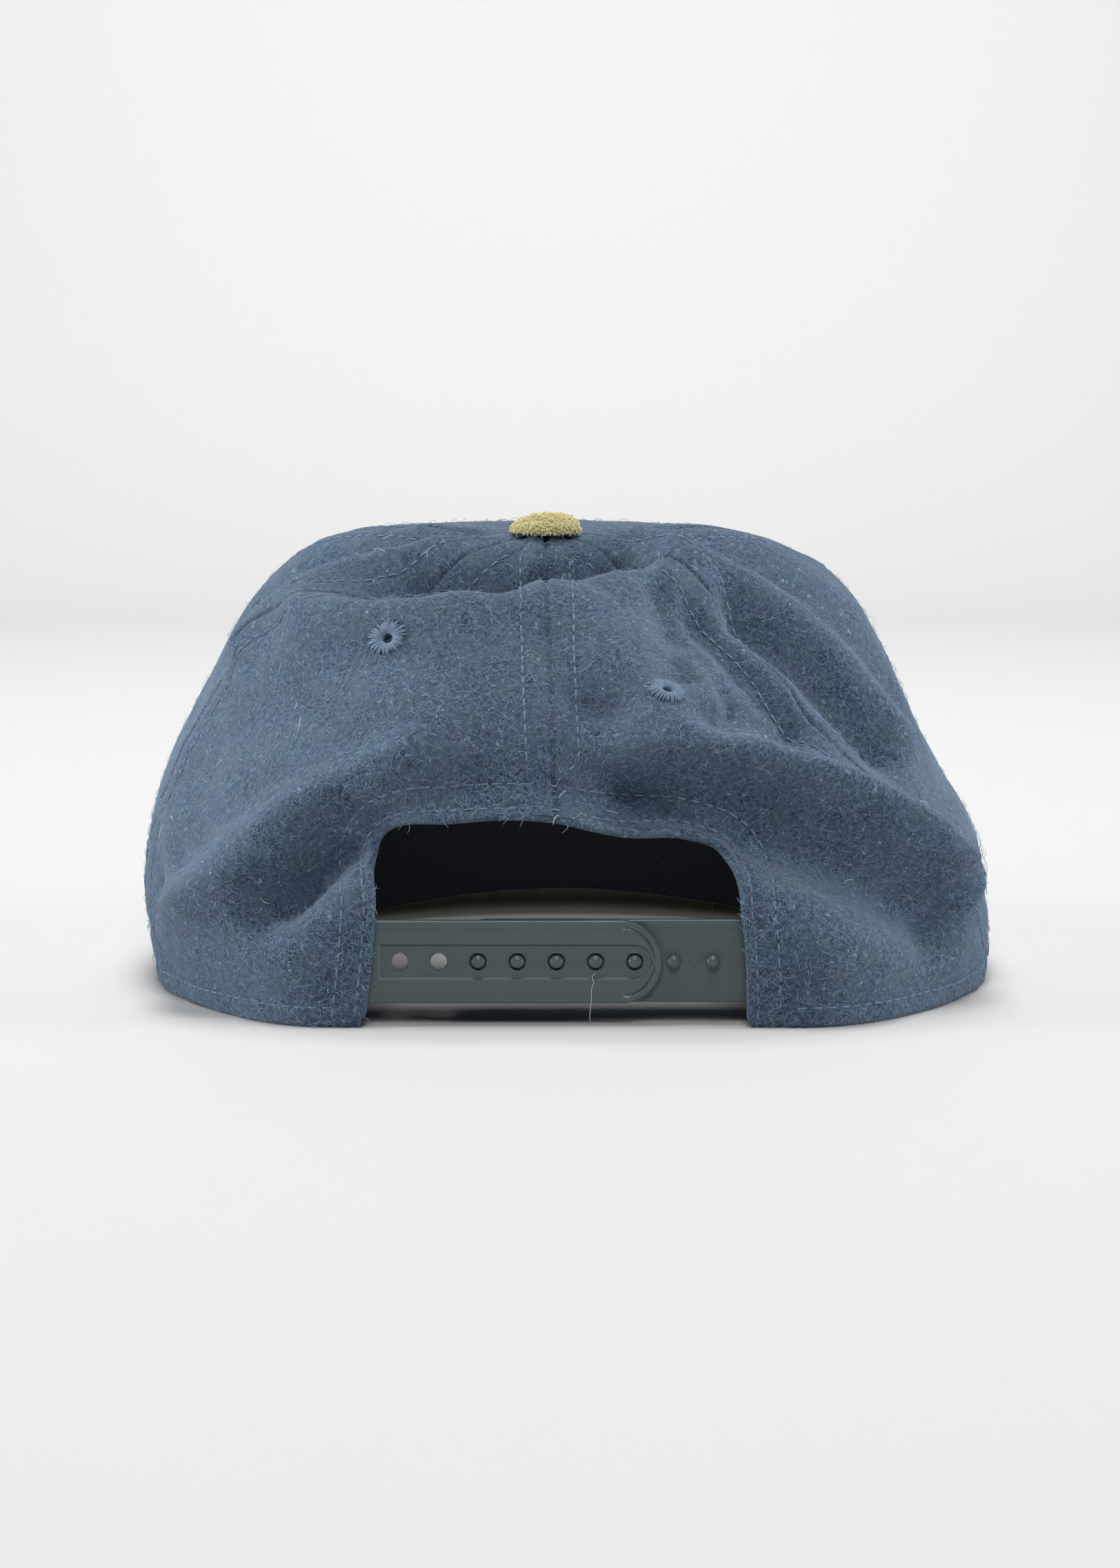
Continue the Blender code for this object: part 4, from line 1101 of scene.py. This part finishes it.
def add_visor(felt):
    corner = crown_point(np.array([180 - VISOR_ARC]), np.zeros(1), np.zeros(1))[0]
    half_width = corner[0] + VISOR_OVERHANG
    deep = CROWN_FRONT + VISOR_REACH + corner[1] - VISOR_CORNER
    shape = flat_grid(spread_shares(VISOR_SPAN, VISOR_CELL),
                      spread_shares(VISOR_REACH, VISOR_CELL, fine_low=False))

    def place(across, forward, depth):
        turn = 2*across - 1
        azimuth = wrapped(180 + VISOR_ARC*turn)
        hem = crown_surface(azimuth, np.zeros_like(azimuth))
        aside = np.minimum(across, 1 - across)*VISOR_SPAN
        edge = np.minimum((1 - forward)*VISOR_REACH, aside)
        rise = 0.5*VISOR_THICKNESS + (2*depth - 1)*rounded_half(edge, VISOR_THICKNESS)
        root = crown_point(azimuth, level_at_rise(rise), np.full_like(azimuth, -VISOR_GAP))
        sweep = np.radians(90*turn)
        edge_x = -half_width*np.sign(turn)*np.abs(np.sin(sweep))**VISOR_SQUARENESS
        edge_y = corner[1] - VISOR_CORNER - deep*np.abs(np.cos(sweep))**VISOR_SQUARENESS
        edge_z = VISOR_EDGE_LIFT*np.cos(sweep)
        reach = forward*(1 - VISOR_CORNER_DRAW*np.abs(turn)**24)
        x = root[:, 0] + (edge_x - root[:, 0])*reach
        y = root[:, 1] + (edge_y - root[:, 1])*reach
        z = hem[:, 2] + (edge_z - hem[:, 2])*reach
        return np.stack([x, y, z + rise], axis=-1)
    mesh = sheet(shape, place, (VISOR_SPAN, VISOR_REACH))
    finish_piece("visor_felt", mesh, felt, ("visor",))


def add_button(felt, pile):
    """The covered button: a felt dome, steeper on the wearer's right, with a short dense pile."""
    top = CROWN_HEIGHT*SECTIONS[-1][SECTION_COLUMNS.index("rise_back")]
    turn = Matrix.Rotation(-math.radians(BUTTON_TILT), 4, "X")
    place = Matrix.Translation((TOP_SHIFT, 0.0, top + 0.5*BUTTON_CLEARANCE)) @ turn
    shape = bmesh.new()
    bmesh.ops.create_uvsphere(shape, u_segments=96, v_segments=64, radius=1.0)
    draw = random.Random(8)
    waves = [(Vector([draw.gauss(0, 1) for _ in range(3)]).normalized()*draw.uniform(14, 40),
              draw.uniform(0, 6.3)) for _ in range(20)]
    rise = BUTTON_HEIGHT - BUTTON_SIDE
    for vert in shape.verts:
        nap = sum(math.sin(wave.dot(vert.co) + start) for wave, start in waves)/len(waves)
        wide = math.hypot(vert.co.x, vert.co.y)
        dome = max(0.0, 1 - wide**BUTTON_ROUND)**(1/BUTTON_ROUND)
        out = 1.0 + 0.045*nap
        height = BUTTON_SIDE + rise*dome*out if vert.co.z >= 0 else BUTTON_SIDE*(1 + vert.co.z)
        radius = BUTTON_RADIUS*out
        vert.co = (radius*vert.co.x - BUTTON_SKEW*dome**2, radius*vert.co.y, height)
    shape.transform(place)
    shape.normal_update()
    upper = [vert for vert in shape.verts if vert.normal.z > -0.5]
    tufts = np.random.default_rng(6)
    chosen = tufts.choice(len(upper), PILE_HAIRS, replace=True)
    roots = np.array([upper[i].co[:] for i in chosen]) + tufts.normal(0, 0.00015, (PILE_HAIRS, 3))
    normals = np.array([upper[i].normal[:] for i in chosen])
    lines = hair_lines(roots, normals, tufts.uniform(*PILE_LENGTHS, PILE_HAIRS),
                       tufts.uniform(*PILE_RISES, PILE_HAIRS), tufts)
    finish_piece("button_felt", mesh_from(shape, 80), felt, ("top_button",))
    pile_mesh = threads_mesh(lines, PILE_THICKNESS, sides=4)
    finish_piece("button_pile", pile_mesh, pile)


def crisp_half(edge, thickness, radius):
    """Half the thickness of a moulded plate at a distance from its edge, whose corners are
    rounded by a radius."""
    inside = np.clip(edge, 0.0, radius)
    return 0.5*thickness - radius + np.sqrt(np.maximum(radius**2 - (radius - inside)**2, 0.0))


def strap_mesh(tail, tip, face, holes=(), pad=0.0):
    """A moulded strap from its square tail to its round tip, with a bead and a fine groove along
    its border. One with holes has them along a shallow channel, each with a raised rim. A pad
    thickens the tail by its height."""
    length, half = abs(tip - tail), 0.5*STRAP_HEIGHT
    way = math.copysign(1.0, tip - tail)

    def spot(across, up):
        return tail + way*length*across, STRAP_HEIGHT*(up - 0.5)

    def inside_edge(x, z):
        return half - np.hypot(np.maximum(way*(x - tip) + half, 0.0), z)

    def from_hole(x, z):
        return np.min([np.hypot(x - hole, z) for hole in holes] or [np.full_like(x, 1.0)], axis=0)

    def material_here(flat):
        x, z = spot(flat[:, 0], flat[:, 1])
        return np.minimum(inside_edge(x, z), from_hole(x, z) - HOLE_RADIUS)

    shape = flat_grid(spread_shares(length, STRAP_CELL), spread_shares(STRAP_HEIGHT, STRAP_CELL))
    cut_open(shape, material_here)

    def place(across, up, depth):
        x, z = spot(across, up)
        edge, ring = inside_edge(x, z), from_hole(x, z)
        relief = BORDER_BEAD*smooth((BORDER_WIDTH - edge)/BORDER_SOFT + 0.5)
        from_groove = edge - BORDER_WIDTH - GROOVE_AWAY
        relief = relief - BORDER_GROOVE*np.exp(-(from_groove/GROOVE_WIDTH)**2)
        if len(holes):
            beyond = np.maximum(LAST_HOLE - x, 0.0)
            channel = np.minimum(0.5*CHANNEL_HEIGHT - np.hypot(beyond, z),
                                 FIRST_HOLE + CHANNEL_START - x)
            relief = relief - CHANNEL_DEPTH*smooth(channel/CHANNEL_SOFT + 0.5)
            relief = relief + RIM_RISE*smooth((HOLE_RIM - ring)/RIM_SOFT)
        relief = relief + pad*smooth((np.abs(x) - ARCH_HALF_WIDTH - 2*STRAP_GAP)/PAD_SOFT)
        near = np.minimum(edge, ring - HOLE_RADIUS)
        body = crisp_half(near, STRAP_THICKNESS, STRAP_ROUNDING)
        y = face - 0.5*STRAP_THICKNESS + (1 - 2*depth)*body + (1 - depth)*relief
        return np.stack([x, y, STRAP_RISE + z], axis=-1)
    return sheet(shape, place, (length, STRAP_HEIGHT))


def add_pegs(mesh, face):
    """Adds the round pegs that snap into the holes."""
    shape = bmesh.new()
    shape.from_mesh(mesh)
    for i in range(PEG_COUNT):
        place = Matrix.Translation((FIRST_PEG - i*SNAP_PITCH, face, STRAP_RISE))
        place = place @ Matrix.Rotation(math.radians(-90), 4, "X")
        made = bmesh.ops.create_uvsphere(shape, u_segments=32, v_segments=16, radius=1.0)["verts"]
        for vert in made:
            stem = PEG_HEIGHT - PEG_DOME
            above, below = stem + PEG_DOME*vert.co.z, 0.5*STRAP_THICKNESS*vert.co.z
            height = above if vert.co.z > -TINY else below
            vert.co = (PEG_RADIUS*vert.co.x, PEG_RADIUS*vert.co.y, height)
        bmesh.ops.transform(shape, matrix=place, verts=made)
        for face_made in {item for vert in made for item in vert.link_faces}:
            face_made.smooth = True
    shape.to_mesh(mesh)
    shape.free()


def add_straps(plastic):
    """The two snap straps, fastened, and a small plain mark moulded between two pegs."""
    holes = [FIRST_HOLE - i*SNAP_PITCH for i in range(HOLE_COUNT)]
    mesh = strap_mesh(STRAP_TAIL, LAST_HOLE - HOLE_STRAP_END, STRAP_FACE, holes=holes)
    finish_piece("strap_with_holes", mesh, plastic, ("strap_hole_side",))
    face = STRAP_FACE - STRAP_THICKNESS - STRAP_GAP
    mesh = strap_mesh(-STRAP_TAIL, FIRST_PEG + PEG_STRAP_END, face, pad=STRAP_THICKNESS + STRAP_GAP)
    add_pegs(mesh, face)
    finish_piece("strap_with_pegs", mesh, plastic, ("strap_peg_side",))
    middle = FIRST_PEG - (PEG_COUNT - 1.5)*SNAP_PITCH
    turns = np.radians(np.linspace(170, 370, 13))
    mark = np.stack([middle + MARK_RADIUS*np.cos(turns), np.full_like(turns, face),
                     STRAP_RISE + MARK_RADIUS*np.sin(turns)], axis=1)
    finish_piece("strap_mark", threads_mesh([mark], 0.0003), plastic)


def add_floor():
    """A sheet of grey paper that sweeps up behind the cap."""
    sweep = bmesh.new()
    line = [(FLOOR_FRONT, 0.0), (FLOOR_BACK, 0.0)]
    for i in range(1, 25):
        turn = math.radians(90*i/24)
        line.append((FLOOR_BACK - SWEEP_RADIUS*math.sin(turn), SWEEP_RADIUS*(1 - math.cos(turn))))
    line.append((FLOOR_BACK - SWEEP_RADIUS, FLOOR_TOP))
    verts = [sweep.verts.new((-FLOOR_SIDE, y, z - FLOOR_DROP)) for y, z in line]
    edges = [sweep.edges.new(pair) for pair in zip(verts[:-1], verts[1:])]
    made = bmesh.ops.extrude_edge_only(sweep, edges=edges)["geom"]
    moved = [item for item in made if isinstance(item, bmesh.types.BMVert)]
    bmesh.ops.translate(sweep, verts=moved, vec=(2*FLOOR_SIDE, 0.0, 0.0))
    mesh = bpy.data.meshes.new("studio_floor")
    sweep.to_mesh(mesh)
    sweep.free()
    mesh.shade_smooth()
    mesh.materials.append(plain_material("grey_paper", "c6c6c6", 0.9))
    put("studio_floor", mesh)


def add_light(name, location, aim, size, power):
    light = bpy.data.lights.new(name, "AREA")
    light.shape = "DISK"
    light.size = size
    light.energy = power
    made = put(name, light)
    made.location = location
    made.rotation_euler = (Vector(aim) - Vector(location)).to_track_quat("-Z", "Y").to_euler()
    made.visible_camera = False


def add_studio():
    add_floor()
    world = bpy.data.worlds.new("studio")
    world.use_nodes = True
    sky = world.node_tree.nodes["Background"]
    sky.inputs["Color"].default_value = linear(SKY_COLOUR)
    sky.inputs["Strength"].default_value = SKY_STRENGTH
    bpy.context.scene.world = world
    bpy.context.scene.view_settings.view_transform = "Standard"
    for light in LIGHTS:
        add_light(*light)


def add_camera():
    camera = bpy.data.cameras.new("camera")
    camera.lens = CAMERA_LENS
    camera.sensor_fit = "VERTICAL"
    camera.sensor_height = 36.0
    made = put("camera", camera)
    made.location = AXIS + Vector((0.0, CAMERA_DISTANCE, CAMERA_HEIGHT))
    made.rotation_euler = (math.radians(90 - CAMERA_PITCH), 0.0, math.radians(180))
    bpy.context.scene.camera = made


def main():
    add_camera()
    add_studio()
    wool = heather_wool()
    thread = polyester_thread("polyester_thread", "48596d", "758a9f")
    embroidery = polyester_thread("embroidery_thread", "46586c", "70849a")
    felt = mustard_felt()
    add_panels(wool)
    add_arch_roll(wool)
    add_stitches(thread)
    add_eyelets(embroidery)
    add_sweatband(cotton_twill())
    add_visor(felt)
    add_button(felt, plain_material("felt_pile", "cfc798", 1.0, 0.1))
    add_straps(moulded_polyethylene())
    add_fuzz(plain_material("wool_fibre", "76899d", 0.9, 0.15))
    add_stray_fibres(plain_material("pale_fibre", "b4bec8", 0.9, 0.15))


main()
